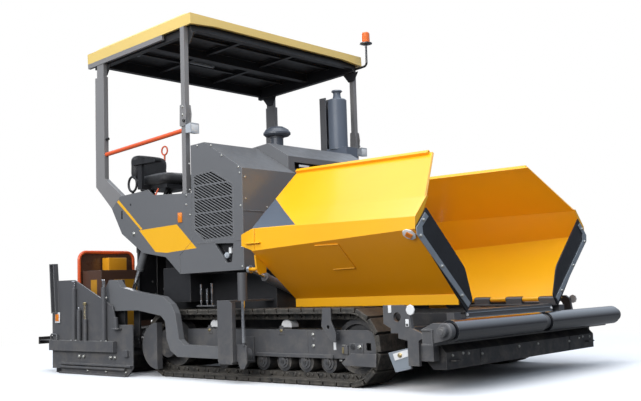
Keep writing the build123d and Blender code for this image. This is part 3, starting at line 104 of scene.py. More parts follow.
class Nodes:
    """Adds nodes to a tree and joins them."""

    def __init__(self, tree):
        self.tree = tree

    def link(self, value, socket):
        """Puts a number, a colour or another node's output into a socket."""
        if isinstance(value, bpy.types.NodeSocket):
            self.tree.links.new(value, socket)
        elif socket.type == "RGBA":
            socket.default_value = (*value, 1.0)
        else:
            socket.default_value = value

    def node(self, kind, inputs=None, **settings):
        """Adds a node: its settings first, then its inputs by name or number."""
        made = self.tree.nodes.new("ShaderNode" + kind)
        for name, value in settings.items():
            setattr(made, name, value)
        for key, value in (inputs or {}).items():
            self.link(value, made.inputs[key])
        return made

    def math(self, operation, first, second=0.0, clamp=False):
        """One sum, kept between 0 and 1 where clamp is set."""
        return self.node("Math", {0: first, 1: second}, operation=operation, use_clamp=clamp).outputs[0]

    def times(self, first, second):
        return self.math("MULTIPLY", first, second)

    def ramp(self, value, low, high, out_low=0.0, out_high=1.0):
        """Smooth step from one value at low to another at high."""
        inputs = {"Value": value, "From Min": low, "From Max": high, "To Min": out_low, "To Max": out_high}
        return self.node("MapRange", inputs, interpolation_type="SMOOTHSTEP").outputs[0]

    def mix(self, share, first, second):
        """Blend of two colours."""
        inputs = {"Factor": share, "A": first, "B": second}
        return self.node("Mix", inputs, data_type="RGBA").outputs["Result"]


class Look(Nodes):
    """Builds one node material round its main shader, and keeps it in looks under its name."""

    def __init__(self, name):
        self.mat = bpy.data.materials.new(name)
        self.mat.use_nodes = True
        super().__init__(self.mat.node_tree)
        self.shader = self.tree.nodes["Principled BSDF"]
        self.place = self.node("TexCoord").outputs["Object"]
        self.split = self.node("SeparateXYZ", {0: self.place}).outputs
        looks[name] = self.mat

    def noise(self, scale, detail=3.0, roughness=0.55, stretch=None):
        """Cloudy pattern, drawn out by stretch."""
        place = self.place
        if stretch:
            place = self.node("Mapping", {"Vector": place, "Scale": stretch}).outputs[0]
        inputs = {"Vector": place, "Scale": scale, "Detail": detail, "Roughness": roughness}
        return self.node("TexNoise", inputs).outputs[0]

    def bump(self, height, strength, distance):
        """Gives the surface relief, and returns its node."""
        made = self.node("Bump", {"Strength": strength, "Distance": distance, "Height": height})
        self.link(made.outputs[0], self.shader.inputs["Normal"])
        return made

    def rounded(self, radius, bump):
        """Softens the look of sharp edges, and returns a mask that is 1 along them."""
        bevel = self.node("Bevel", {"Radius": radius}, samples=4).outputs[0]
        self.link(bevel, bump.inputs["Normal"])
        face = self.node("NewGeometry").outputs["Normal"]
        turn = self.node("VectorMath", {0: bevel, 1: face}, operation="DOT_PRODUCT")
        return self.ramp(turn.outputs["Value"], 0.995, 0.9)

    def facing(self, axis, normal="Normal"):
        """How far the surface faces along an axis, from -1 to 1."""
        faces = self.node("NewGeometry").outputs[normal]
        return self.node("SeparateXYZ", {0: faces}).outputs[axis]

    def upward(self):
        """How far the surface faces up, from 0 to 1."""
        return self.ramp(self.facing(Z), 0.2, 0.9)

    def downward(self):
        """How far the surface faces down, from 0 to 1."""
        return self.ramp(self.facing(Z), 0.02, -0.45)

    def outward(self):
        """1 where the surface faces away from the machine's middle plane."""
        side = self.math("SIGN", self.split[Y])
        return self.ramp(self.times(self.facing(Y, "True Normal"), side), -0.05, 0.05)

    def span(self, value, low, high):
        """1 where a value lies between two others."""
        above = self.ramp(value, low - BLUR, low + BLUR)
        return self.times(above, self.ramp(value, high + BLUR, high - BLUR))

    def between(self, axis, low, high):
        """1 where a coordinate lies between two values."""
        return self.span(self.split[axis], low, high)

    def beside(self, low, high):
        """1 where the distance from the machine's middle lies between two values."""
        return self.span(self.math("ABSOLUTE", self.split[Y]), low, high)

    def half_plane(self, start, end):
        """1 on the left of the line from start to end, both (x, z), as seen from the right side."""
        (x0, z0), (x1, z1) = start, end
        length = math.hypot(x1 - x0, z1 - z0)
        share_x, share_z = -(z1 - z0) / length, (x1 - x0) / length
        place = self.math("ADD", self.times(self.split[X], share_x), self.times(self.split[Z], share_z))
        side = self.math("SUBTRACT", place, share_x * x0 + share_z * z0)
        return self.ramp(side, -BLUR, BLUR)

    def polygon(self, corners):
        """1 inside a convex outline of (x, z) corners, anticlockwise as seen from the right side."""
        share = 1.0
        for start, end in zip(corners, corners[1:] + corners[:1]):
            share = self.times(share, self.half_plane(start, end))
        return share

    def set(self, **values):
        """Puts values into the main shader's inputs, with a space for each underscore."""
        for name, value in values.items():
            self.link(value, self.shader.inputs[name.replace("_", " ")])


# Paint and dust colours, linear
CHARCOAL = (0.135, 0.137, 0.142)
# Painted shade: a darker copy of the charcoal paint, for the low parts that sit in the machine's shade
CHARCOAL_LOW_SHADED = (0.088, 0.088, 0.092)
# Painted highlight: a paler copy of the charcoal paint for the roof posts, where light falls on them; the
# roof trims share it
POST_LIT_GREY = (0.225, 0.218, 0.216)
BLACK = (0.016, 0.016, 0.018)
YELLOW = (0.95, 0.460, 0.006)
# Painted shade: the deeper yellow that the downward faces of the yellow paints take
YELLOW_PAINTED_SHADE = (0.93, 0.360, 0.004)
ROOF_YELLOW = (0.78, 0.560, 0.170)
YELLOW_STRIPE = (0.90, 0.46, 0.010)
ORANGE = (0.80, 0.115, 0.028)
DUST = (0.30, 0.26, 0.21)
WORN_EDGE = (0.62, 0.60, 0.56)
WHITE = (0.80, 0.80, 0.79)
PATCH_GREY = (0.085, 0.105, 0.135)
BROWN = (0.085, 0.040, 0.024)
MUSTARD = (0.50, 0.235, 0.012)
BLUE_GREY = (0.105, 0.125, 0.160)


def painted(name, colour, rough, coat, dust, edge=0.35, masks=None, shade=None, mottle=0.07):
    """Sprayed paint: orange peel, cloudy gloss, worn edges, and dust that thickens towards the ground.

    Each mask lays its own colour over the paint, and shade is painted shade: the deeper colour given to what
    faces down."""
    look = Look(name)
    clouds = look.noise(1.3)
    edges = look.rounded(0.003, look.bump(look.noise(260.0, 2.0), 0.04, 0.001))
    # Painted shade: faces that point down take the shade colour
    base = look.mix(look.downward(), colour, shade) if shade else colour
    for mask, over in (masks or {}).items():
        base = look.mix(mask(look), base, over)
    darker = look.mix(look.ramp(clouds, 0.35, 0.7, 0.0, 0.05), base, (0.0, 0.0, 0.0))
    worn = look.mix(look.times(edges, edge), darker, WORN_EDGE)
    low = look.ramp(look.split[Z], 0.75, 0.05)
    patchy = look.ramp(look.noise(9.0, 6.0, 0.7), 0.42, 0.68)
    settled = look.times(look.math("ADD", look.times(look.upward(), 0.35), low), patchy)
    dirt = look.math("MULTIPLY", settled, dust, True)
    gloss = look.ramp(look.noise(14.0, 5.0, 0.65), 0.3, 0.75, rough - mottle * 0.7, rough + mottle * 1.3)
    look.set(Base_Color=look.mix(dirt, worn, DUST),
             Roughness=look.math("ADD", gloss, look.times(dirt, 0.4), True),
             Coat_Weight=coat, Coat_Roughness=0.12)


def metal(name, colour, rough, scratch, grain=None, metallic=1.0):
    """Bare metal with fine scratches drawn out along its grain."""
    look = Look(name)
    lines = look.noise(180.0, 4.0, 0.6, grain)
    edges = look.rounded(0.002, look.bump(lines, scratch, 0.0006))
    stains = look.ramp(look.noise(7.0, 5.0), 0.5, 0.75, 0.0, 0.35)
    stained = look.mix(stains, colour, [share * 0.55 for share in colour])
    look.set(Base_Color=look.mix(look.times(edges, 0.3), stained, (0.8, 0.79, 0.77)),
             Roughness=look.ramp(lines, 0.3, 0.7, rough - 0.05, rough + 0.1), Metallic=metallic)


def cast_track(name):
    """Track steel: rough casting, brown dust in the hollows and shiny worn faces."""
    look = Look(name)
    grit = look.noise(95.0, 6.0, 0.7)
    edges = look.rounded(0.004, look.bump(grit, 0.5, 0.002))
    dusty = look.ramp(look.noise(11.0, 7.0, 0.75), 0.36, 0.62)
    earth = look.mix(dusty, (0.034, 0.033, 0.032), (0.092, 0.082, 0.068))
    flat = look.mix(look.times(look.upward(), 0.5), earth, (0.150, 0.134, 0.112))
    look.set(Base_Color=look.mix(look.times(edges, 0.55), flat, (0.33, 0.30, 0.26)),
             Roughness=look.ramp(grit, 0.3, 0.7, 0.5, 0.85), Metallic=0.35)


def plastic(name, colour, rough):
    """Moulded plastic with a fine grained skin."""
    look = Look(name)
    cells = look.node("TexVoronoi", {"Vector": look.place, "Scale": 420.0})
    look.rounded(0.002, look.bump(cells.outputs["Distance"], 0.12, 0.0006))
    faded = look.ramp(look.noise(5.0, 4.0), 0.35, 0.7, 0.0, 0.12)
    look.set(Base_Color=look.mix(faded, colour, [min(1.0, share + 0.05) for share in colour]),
             Roughness=look.ramp(look.noise(20.0, 4.0), 0.3, 0.7, rough - 0.05, rough + 0.08))


def vinyl(name):
    """Black seat vinyl with a pebbled grain and worn, shinier crowns."""
    look = Look(name)
    cells = look.node("TexVoronoi", {"Vector": look.place, "Scale": 330.0}, feature="DISTANCE_TO_EDGE")
    grain = look.ramp(cells.outputs["Distance"], 0.0, 0.3)
    look.bump(look.math("ADD", grain, look.times(look.noise(30.0), 1.5)), 0.35, 0.0009)
    rubbed = look.times(look.upward(), look.ramp(look.noise(8.0), 0.35, 0.65))
    look.set(Base_Color=look.mix(look.times(rubbed, 0.5), (0.012, 0.012, 0.013), (0.045, 0.044, 0.044)),
             Roughness=look.ramp(grain, 0.0, 1.0, 0.62, 0.42), Sheen_Weight=0.25, Sheen_Roughness=0.5)


def rubber(name):
    """Black rubber sheet, matt, with a chalky bloom."""
    look = Look(name)
    look.bump(look.noise(150.0, 5.0, 0.7), 0.25, 0.001)
    bloom = look.ramp(look.noise(6.0, 6.0, 0.7), 0.4, 0.75, 0.0, 0.5)
    look.set(Base_Color=look.mix(bloom, (0.006, 0.007, 0.010), (0.016, 0.019, 0.027)),
             Roughness=look.ramp(look.noise(18.0, 4.0), 0.3, 0.7, 0.34, 0.5))


def lens(name, colour, masks=None):
    """Lamp lens: clear coloured plastic over fine moulded ribs."""
    look = Look(name)
    wave = look.node("TexWave", {"Vector": look.place, "Scale": 70.0, "Distortion": 0.0})
    look.bump(wave.outputs["Fac"], 0.4, 0.002)
    deep = look.ramp(look.noise(35.0, 2.0), 0.3, 0.7, 0.0, 0.3)
    tint = look.mix(deep, colour, [share * 0.6 for share in colour])
    for mask, over in (masks or {}).items():
        tint = look.mix(mask(look), tint, over)
    look.set(Base_Color=tint, Roughness=0.12, Coat_Weight=0.8, Coat_Roughness=0.04)


def side_stripes(look):
    """The yellow panel and the thin stripe painted on the side panels."""
    panel = [(-0.947, 1.290), (-0.721, 1.085), (-0.568, 1.070), (-0.177, 1.092), (-0.428, 1.309)]
    stripe = [(-1.270, 1.574), (-0.925, 1.293), (-0.900, 1.300), (-1.243, 1.590)]
    return look.math("MAXIMUM", look.polygon(panel), look.polygon(stripe))


def wing_triangle(look):
    """The blue-grey triangle painted on the outside of a wing, at the rear of its leaning top panel."""
    behind = look.half_plane((1.020, 1.208), (0.567, 1.455))
    above = look.ramp(look.split[Z], 1.206, 1.209)
    return look.times(look.times(behind, above), look.outward())


def shaded_inside(look):
    """The inside of a housing, behind its side sheet, made black: painted shade."""
    rear, top, sheet = -0.208, 1.700, 0.022
    inside = look.times(look.beside(0.0, SIDE - sheet + 0.0005), look.between(Z, 0.0, top))
    return look.times(inside, look.between(X, rear, HOUSE_FRONT - sheet))


def bumper_black_and_shade(look):
    """The bumper between the lifting plates in black: its own dark paint together with painted shade."""
    return look.times(look.beside(0.0, 1.139), look.between(Z, 0.0, 0.400))


def carrier_wheels(look):
    """The two pale carrier wheels on top of each track frame."""
    radius = 0.061
    wheels = [look.between(X, axle - radius, axle + radius) for axle in CARRIERS]
    return look.times(look.between(Z, 0.425, 0.60), look.math("MAXIMUM", *wheels))


def floor_trim(look):
    """The dark hinge tubes, side strips and front lip of the hopper's floor."""
    return look.between(Z, 0.0, 0.610)


def roof_trim(look):
    """The grey trim strips along the roof's side edges."""
    return look.beside(1.166, 1.30)


def cabinet_doors(look):
    """Brown doors round a mustard one on the screed's control cabinets."""
    side = look.math("SUBTRACT", 1.0, look.between(X, -1.93, -1.83))
    front = look.math("SUBTRACT", 1.0, look.beside(0.62, 0.90))
    return look.math("MAXIMUM", look.times(side, front), look.ramp(look.split[Z], 0.868, 0.872))


def heat_shield(look):
    """The paler channel behind the exhaust drum."""
    return look.ramp(look.split[X], -0.248, -0.252)


def beacon_stalk(look):
    """The beacon's black stalk and foot below its lens."""
    return look.ramp(look.split[Z], 3.287, 3.285)


def make_looks():
    """Makes every material. A paint's numbers are its roughness, clear coat, dust and worn edge."""
    painted("charcoal", CHARCOAL, 0.40, 0.15, 0.15)
    painted("side_panel", CHARCOAL, 0.40, 0.15, 0.15, masks={side_stripes: YELLOW_STRIPE})
    # Painted shade: the insides of the housings are black
    painted("house_panel", CHARCOAL, 0.40, 0.15, 0.15,
            masks={side_stripes: YELLOW_STRIPE, shaded_inside: BLACK})
    # Painted shade: the low parts wear the darker copy of the charcoal
    painted("low_shaded_charcoal", CHARCOAL_LOW_SHADED, 0.42, 0.1, 0.22)
    # Black bumper face: its own dark paint together with painted shade
    painted("bumper", CHARCOAL_LOW_SHADED, 0.42, 0.1, 0.22, masks={bumper_black_and_shade: BLACK})
    # Painted highlight: the roof posts wear the paler copy of the charcoal
    painted("post_lit_grey", POST_LIT_GREY, 0.38, 0.15, 0.1)
    painted("black_steel", BLACK, 0.5, 0.0, 0.22)
    painted("wheels", (0.040, 0.040, 0.042), 0.5, 0.0, 0.4, masks={carrier_wheels: WHITE})
    painted("roof_lining", BLACK, 0.45, 0.1, 0.0, masks={roof_trim: POST_LIT_GREY})
    painted("yellow_paint", YELLOW, 0.30, 0.35, 0.0, 0.08, None, YELLOW_PAINTED_SHADE, 0.02)
    painted("floor_paint", YELLOW, 0.35, 0.2, 0.05, 0.1, {floor_trim: CHARCOAL_LOW_SHADED}, YELLOW_PAINTED_SHADE, 0.02)
    painted("wing_paint", YELLOW, 0.30, 0.35, 0.0, 0.08, {wing_triangle: PATCH_GREY}, YELLOW_PAINTED_SHADE, 0.02)
    painted("brown_paint", BROWN, 0.3, 0.3, 0.05, 0.1)
    painted("mustard_paint", (0.80, 0.34, 0.012), 0.4, 0.2, 0.05, 0.1)
    painted("roof_paint", ROOF_YELLOW, 0.35, 0.25, 0.0, 0.10)
    painted("cabinet", MUSTARD, 0.45, 0.1, 0.1, masks={cabinet_doors: BROWN})
    painted("exhaust", BLUE_GREY, 0.45, 0.1, 0.0, masks={heat_shield: CHARCOAL_LOW_SHADED})
    painted("intake", (0.060, 0.068, 0.085), 0.40, 0.1, 0.0)
    painted("orange_paint", ORANGE, 0.35, 0.3, 0.1, 0.1)
    painted("white_paint", WHITE, 0.4, 0.1, 0.1, 0.1)
    painted("cast_block", (0.11, 0.11, 0.115), 0.6, 0.0, 0.2)
    painted("roller_steel", (0.011, 0.012, 0.015), 0.13, 1.0, 0.02, 0.3)
    metal("worn_steel", (0.30, 0.29, 0.28), 0.38, 0.12, (1.0, 6.0, 1.0))
    metal("zinc", (0.62, 0.61, 0.56), 0.32, 0.2)
    metal("brass", (0.62, 0.50, 0.26), 0.30, 0.1)
    metal("galvanised", (0.36, 0.40, 0.44), 0.42, 0.2, metallic=0.7)
    metal("chrome", (0.80, 0.80, 0.81), 0.10, 0.04, (1.0, 1.0, 0.1))
    plastic("black_plastic", (0.012, 0.012, 0.013), 0.42)
    plastic("grey_plastic", (0.42, 0.45, 0.48), 0.45)
    lens("orange_lens", (0.85, 0.16, 0.01), {beacon_stalk: BLACK})
    lens("amber_lens", (0.90, 0.25, 0.01))
    lens("clear_lens", (0.75, 0.77, 0.78))
    cast_track("track_steel")
    vinyl("seat_vinyl")
    rubber("rubber")


# Nodes whose look in this picture isn't the plain finish of their record slot, under that look
NODE_LOOKS = {
    "side_panel": ["side_panels"],
    "house_panel": ["cooler_housing", "left_housing"],
    # Painted shade: these low parts take the darker copy of the charcoal
    "low_shaded_charcoal": ["track_frames", "drive_covers", "push_beam", "tow_guides", "tow_plates",
                     "level_barrels", "end_gate_left", "end_gate_right"],
    "wheels": ["track_wheels"],
    "bumper": ["front_beam"],
    "floor_paint": ["hopper_floor"],
    "wing_paint": ["hopper_wing_left", "hopper_wing_right"],
    "roof_paint": ["roof"],
    "roof_lining": ["roof_frame"],
    "post_lit_grey": ["roof_posts"],
    "exhaust": ["exhaust_stack"],
    "intake": ["air_intake"],
    "grey_plastic": ["work_lamps"],
    "cabinet": ["screed_cabinet_left", "screed_cabinet_right"],
}


def dress_nodes():
    """Gives every CAD node its node material."""
    wears = {row["node"]: row["material_slot"] for row in frame["record"]["subparts"]}
    for look, names in NODE_LOOKS.items():
        wears.update(dict.fromkeys(names, look))
    for name, node in nodes.items():
        node.data.materials.clear()
        node.data.materials.append(looks[wears[name]])


def on_plane(axis, level, pair):
    """Point where one axis has a level, from its two other coordinates."""
    return Vector((*pair[:axis], level, *pair[axis:]))


def circle(sides):
    """Cosines and sines of equal steps round a circle."""
    turns = [2 * math.pi * index / sides for index in range(sides)]
    return [(math.cos(turn), math.sin(turn)) for turn in turns]


def reflect(verts):
    """Moves points to their mirror places on the other side of the machine."""
    for vert in verts:
        vert.co.y = -vert.co.y


class Shape:
    """A mesh under construction, in metres, in the frame of the part."""

    def __init__(self, mesh=None):
        self.mesh = mesh or bmesh.new()

    def box(self, low, high, bevel=0.0, turn=Matrix()):
        """Block between two corners, with rounded edges or turned where asked."""
        made = bmesh.ops.create_cube(self.mesh, size=1.0)["verts"]
        for vert in made:
            spot = [(a + b) / 2 + share * (b - a) for a, b, share in zip(low, high, vert.co)]
            vert.co = turn @ Vector(spot)
        if bevel:
            edges = list({edge for vert in made for edge in vert.link_edges})
            bmesh.ops.bevel(self.mesh, geom=edges, offset=bevel, segments=2, affect="EDGES", profile=0.6)

    def plate(self, face, low, high, thick, bevel=0.0):
        """Plate that stands off a side face and is sunk a little into it, between (x, z) corners."""
        self.box((low[0], face - thick, low[1]), (high[0], face + SUNK, high[1]), bevel)

    def rod(self, start, end, radius, sides=16):
        """Round bar between two points."""
        start, end = Vector(start), Vector(end)
        line = end - start
        place = Matrix.Translation((start + end) / 2) @ line.to_track_quat("Z", "Y").to_matrix().to_4x4()
        bmesh.ops.create_cone(self.mesh, cap_ends=True, segments=sides, radius1=radius, radius2=radius,
                              depth=line.length, matrix=place)

    def skin(self, rings, closed=False):
        """Joins rings of points with faces, and caps both ends unless they meet."""
        rings = [[self.mesh.verts.new(point) for point in ring] for ring in rings]
        next_rings = rings[1:] + (rings[:1] if closed else [])
        for low, high in zip(rings, next_rings):
            for index in range(len(low)):
                following = (index + 1) % len(low)
                self.mesh.faces.new((low[index], low[following], high[following], high[index]))
        if not closed:
            self.mesh.faces.new(rings[0][::-1])
            self.mesh.faces.new(rings[-1])

    def prism(self, points, axis, low, high):
        """Flat outline made solid along an axis. Points are in the other two axes' order."""
        self.skin([[on_plane(axis, level, point) for point in points] for level in (low, high)])

    def lathe(self, start, axis, profile, sides=24):
        """Turned shape: profile is a list of (distance along axis, radius)."""
        turn = Vector(axis).normalized().to_track_quat("Z", "Y").to_matrix()
        self.skin([[Vector(start) + turn @ Vector((radius * u, radius * v, along)) for u, v in circle(sides)]
                   for along, radius in profile])

    def tube(self, points, radius, sides=10, closed=False):
        """Round bar that follows a list of points."""
        points = [Vector(point) for point in points]
        rings = []
        side = None
        for index, point in enumerate(points):
            before = points[index - 1] if index or closed else point
            after = points[(index + 1) % len(points)] if index < len(points) - 1 or closed else point
            line = (after - before).normalized()
            if side is None:
                side = line.orthogonal()
            side = (side - line * side.dot(line)).normalized()
            other = line.cross(side)
            rings.append([point + radius * (side * u + other * v) for u, v in circle(sides)])
        self.skin(rings, closed)

    def bolts(self, axis, level, size, *places):
        """Chamfered hexagon heads on washers, on the face where an axis has a level."""
        for pair in places:
            for profile, sides in ((WASHER, 16), (HEAD, 6)):
                self.lathe(on_plane(axis, level, pair), (AHEAD, OUT, UP)[axis],
                           [(along * size, radius * size) for along, radius in profile], sides)

    def mirror(self):
        """Adds the mirror image of all that is there on the other side of the machine."""
        geometry = [*self.mesh.verts, *self.mesh.edges, *self.mesh.faces]
        copy = bmesh.ops.duplicate(self.mesh, geom=geometry)["geom"]
        reflect(item for item in copy if isinstance(item, bmesh.types.BMVert))

    def piece(self, name, look, body="root", smooth=35, bevel=0.0):
        """Finishes the mesh as a piece that rides on a body."""
        bmesh.ops.recalc_face_normals(self.mesh, faces=self.mesh.faces[:])
        made = add_object(name, self.mesh)
        if smooth:
            made.data.shade_smooth()
            made.data.set_sharp_from_angle(angle=math.radians(smooth))
        made.data.materials.append(looks[look])
        if bevel:
            edge = made.modifiers.new("Edges", "BEVEL")
            edge.width = bevel
            edge.segments = 2
            edge.limit_method = "ANGLE"
        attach(made, body)


def add_object(name, mesh):
    """Turns a mesh under construction into an object in the scene."""
    data = bpy.data.meshes.new(name)
    mesh.to_mesh(data)
    mesh.free()
    made = bpy.data.objects.new(name, data)
    bpy.context.scene.collection.objects.link(made)
    return made


@contextmanager
def on_sides(name, look, body, **finish):
    """Makes one piece a side: the right one is drawn, and the left one is its mirror image."""
    right = Shape()
    yield right
    left = Shape(right.mesh.copy())
    reflect(left.mesh.verts)
    right.piece(f"{name}_right", look, f"{body}_right", **finish)
    left.piece(f"{name}_left", look, f"{body}_left", **finish)


@contextmanager
def on_root(name, look, both=True, **finish):
    """Makes one piece on the machine: the right half is drawn, and mirrored where both sides have it."""
    shape = Shape()
    yield shape
    if both:
        shape.mirror()
    shape.piece(name, look, **finish)


def cushion_block(name, low, high):
    """Rounded block with a crowned top to start a cushion from, slightly smaller than its CAD solid."""
    pull, crown, roundness = 0.012, 0.012, 5.0
    low, high = Vector(low), Vector(high)
    size = high - low
    middle = (low + high) / 2
    shape = bmesh.new()
    bmesh.ops.create_cube(shape, size=1.0)
    bmesh.ops.subdivide_edges(shape, edges=shape.edges[:], cuts=9, use_grid_fill=True)
    for vert in shape.verts:
        spot = vert.co * 2
        norm = sum(abs(value) ** roundness for value in spot) ** (1 / roundness)
        spot = spot / max(norm, 1e-6) * max(abs(value) for value in spot)
        vert.co = [middle[k] + spot[k] * (size[k] / 2 - pull) for k in range(3)]
        u = (vert.co.x - low.x) / size.x * 2 - 1
        v = (vert.co.y - low.y) / size.y * 2 - 1
        if vert.co.z > middle.z:
            vert.co.z += crown * (1 - u * u) * (1 - v * v)
    return add_object(name, shape)


def inflate(made, cap):
    """Puffs a cushion with cloth under pressure, and keeps each point within a cap of where it was."""
    last_frame = 20
    bpy.context.view_layer.objects.active = made
    for other in bpy.context.selected_objects:
        other.select_set(False)
    made.select_set(True)
    remesh = made.modifiers.new("Remesh", "REMESH")
    remesh.mode = "VOXEL"
    remesh.voxel_size = 0.012
    bpy.ops.object.modifier_apply(modifier="Remesh")
    cloth = made.modifiers.new("Cloth", "CLOTH")
    cloth.settings.use_pressure = True
    cloth.settings.uniform_pressure_force = 4
    cloth.settings.effector_weights.gravity = 0
    cloth.settings.quality = 4
    cloth.point_cache.frame_start = 1
    cloth.point_cache.frame_end = last_frame
    for step in range(1, last_frame + 1):
        bpy.context.scene.frame_set(step)
    ready = made.evaluated_get(bpy.context.evaluated_depsgraph_get())
    puffed = [vert.co.copy() for vert in ready.data.vertices]
    made.modifiers.remove(cloth)
    bpy.context.scene.frame_set(1)
    for vert, after in zip(made.data.vertices, puffed):
        move = after - vert.co
        vert.co += move if move.length < cap else move.normalized() * cap


def sew(made, lines):
    """Presses sewn channels into the top of a cushion: each line is (axis, place)."""
    depth, width = 0.008, 0.010
    heights = [vert.co.z for vert in made.data.vertices]
    middle, half = (max(heights) + min(heights)) / 2, (max(heights) - min(heights)) / 2
    for vert in made.data.vertices:
        share = max(0.0, (vert.co.z - middle) / half)
        for axis, place in lines:
            away = (vert.co[axis] - place) / width
            vert.co.z -= depth * share * math.exp(-away * away)


def finish_cushion(made, body):
    """Makes a cushion smooth, padded and covered in vinyl, on its body."""
    made.data.shade_smooth()
    smooth = made.modifiers.new("Smooth", "SUBSURF")
    smooth.levels = 1
    smooth.render_levels = 1
    made.data.materials.clear()
    made.data.materials.append(looks["seat_vinyl"])
    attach(made, body)


def make_seats():
    """Padded cushions and backrests of both seats, puffed and sewn on the left and mirrored to the right."""
    low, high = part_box("seat_cushions")
    inner, thick, inset, seam = 0.630, 0.110, 0.010, 0.16
    base = ((low.x + thick, inner, low.z), (high.x, high.y, low.z + thick))
    back = ((low.x, inner + inset, low.z + 0.060), (low.x + thick, high.y - inset, high.z))
    middle = (inner + high.y) / 2
    seams = [(X, -1.06), (X, -0.84), (Y, middle - seam), (Y, middle + seam)]
    made = []
    for name, corners, lines in (("Seat_base", base, seams), ("Seat_back", back, [])):
        cushion = cushion_block(f"{name}_left", *corners)
        inflate(cushion, 0.010)
        sew(cushion, lines)
        other = cushion.copy()
        other.data = cushion.data.copy()
        other.name = f"{name}_right"
        bpy.context.scene.collection.objects.link(other)
        reflect(other.data.vertices)
        other.data.flip_normals()
        made += [cushion, other]
    for cushion in made:
        finish_cushion(cushion, "root")
    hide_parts("seat_cushions")


def panel_point(x, share, out=0.0):
    """Point on the right wing's lower panel: x, its share of the way from hinge to crease, and its lift."""
    crease = CREASE_REAR + (CREASE_FRONT - CREASE_REAR) * (x - WING_REAR) / (WING_FRONT - WING_REAR)
    width, rise = WING_OUT - HINGE_Y, crease - HINGE_Z
    length = math.hypot(width, rise)
    y = HINGE_Y + share * width + out * rise / length
    return Vector((x, -y, WING_FOOT + share * (crease - WING_FOOT) - out * width / length))


def wing_trims():
    """Clamp strips, bolts, welded patches and reflectors on the hopper wings."""
    strip = WING_FRONT + 0.010
    head = strip + 0.006
    outer = [(-1.190, 1.219), (-1.300, 1.114), (-1.296, 1.062), (-0.698, 0.553)]
    inner = [(-0.664, 0.583), (-1.227, 1.069), (-1.233, 1.122), (-1.153, 1.192)]
    with on_sides("Flap_strip", "galvanised", "hopper_wing", smooth=0) as shape:
        shape.prism(outer + inner, X, strip, head)
    with on_sides("Flap_bolts", "zinc", "hopper_wing") as shape:
        shape.bolts(X, head, 0.013, (-1.215, 1.166), (-1.256, 1.056), (-1.013, 0.848), (-0.771, 0.639))

    corners = [(1.204, 0.960), (1.416, 0.940), (1.408, 0.600), (1.200, 0.605)]
    sunk, bead, steps = -0.002, 0.0045, 14
    with on_sides("Wing_patch", "wing_paint", "hopper_wing") as shape:
        sheet = [panel_point(x, share, sunk) for x, share in corners]
        lift = panel_point(1.2, 0.6, 0.005) - panel_point(1.2, 0.6, sunk)
        shape.skin([sheet, [point + lift for point in sheet]])
        ring = [panel_point(x, share, 0.004) for x, share in corners]
        for start, end in zip(ring[:3], ring[1:]):
            shape.tube([start.lerp(end, index / steps) for index in range(steps + 1)], bead, 8)
    with on_sides("Wing_rib", "yellow_paint", "hopper_wing", bevel=0.002) as shape:
        shape.box((0.500, -WING_OUT - 0.022, 1.086), (0.660, -WING_OUT + 0.004, 1.096))
        shape.box((WING_REAR + 0.03, -WING_OUT + 0.002, 1.21), (WING_REAR + 0.034, -WING_OUT - 0.002, 1.04))

    spot = (2.061, 0.949)
    centre = panel_point(*spot, 0.003)
    facing = panel_point(*spot, 1.0) - panel_point(*spot)
    with on_sides("Wing_reflector_frame", "white_paint", "hopper_wing") as shape:
        shape.lathe(centre, facing, [(0.0, 0.052), (0.006, 0.052), (0.009, 0.046)], 8)
    with on_sides("Wing_reflector", "amber_lens", "hopper_wing") as shape:
        shape.lathe(centre + facing * 0.009, facing, [(0.0, 0.034), (0.005, 0.034), (0.008, 0.028)], 4)


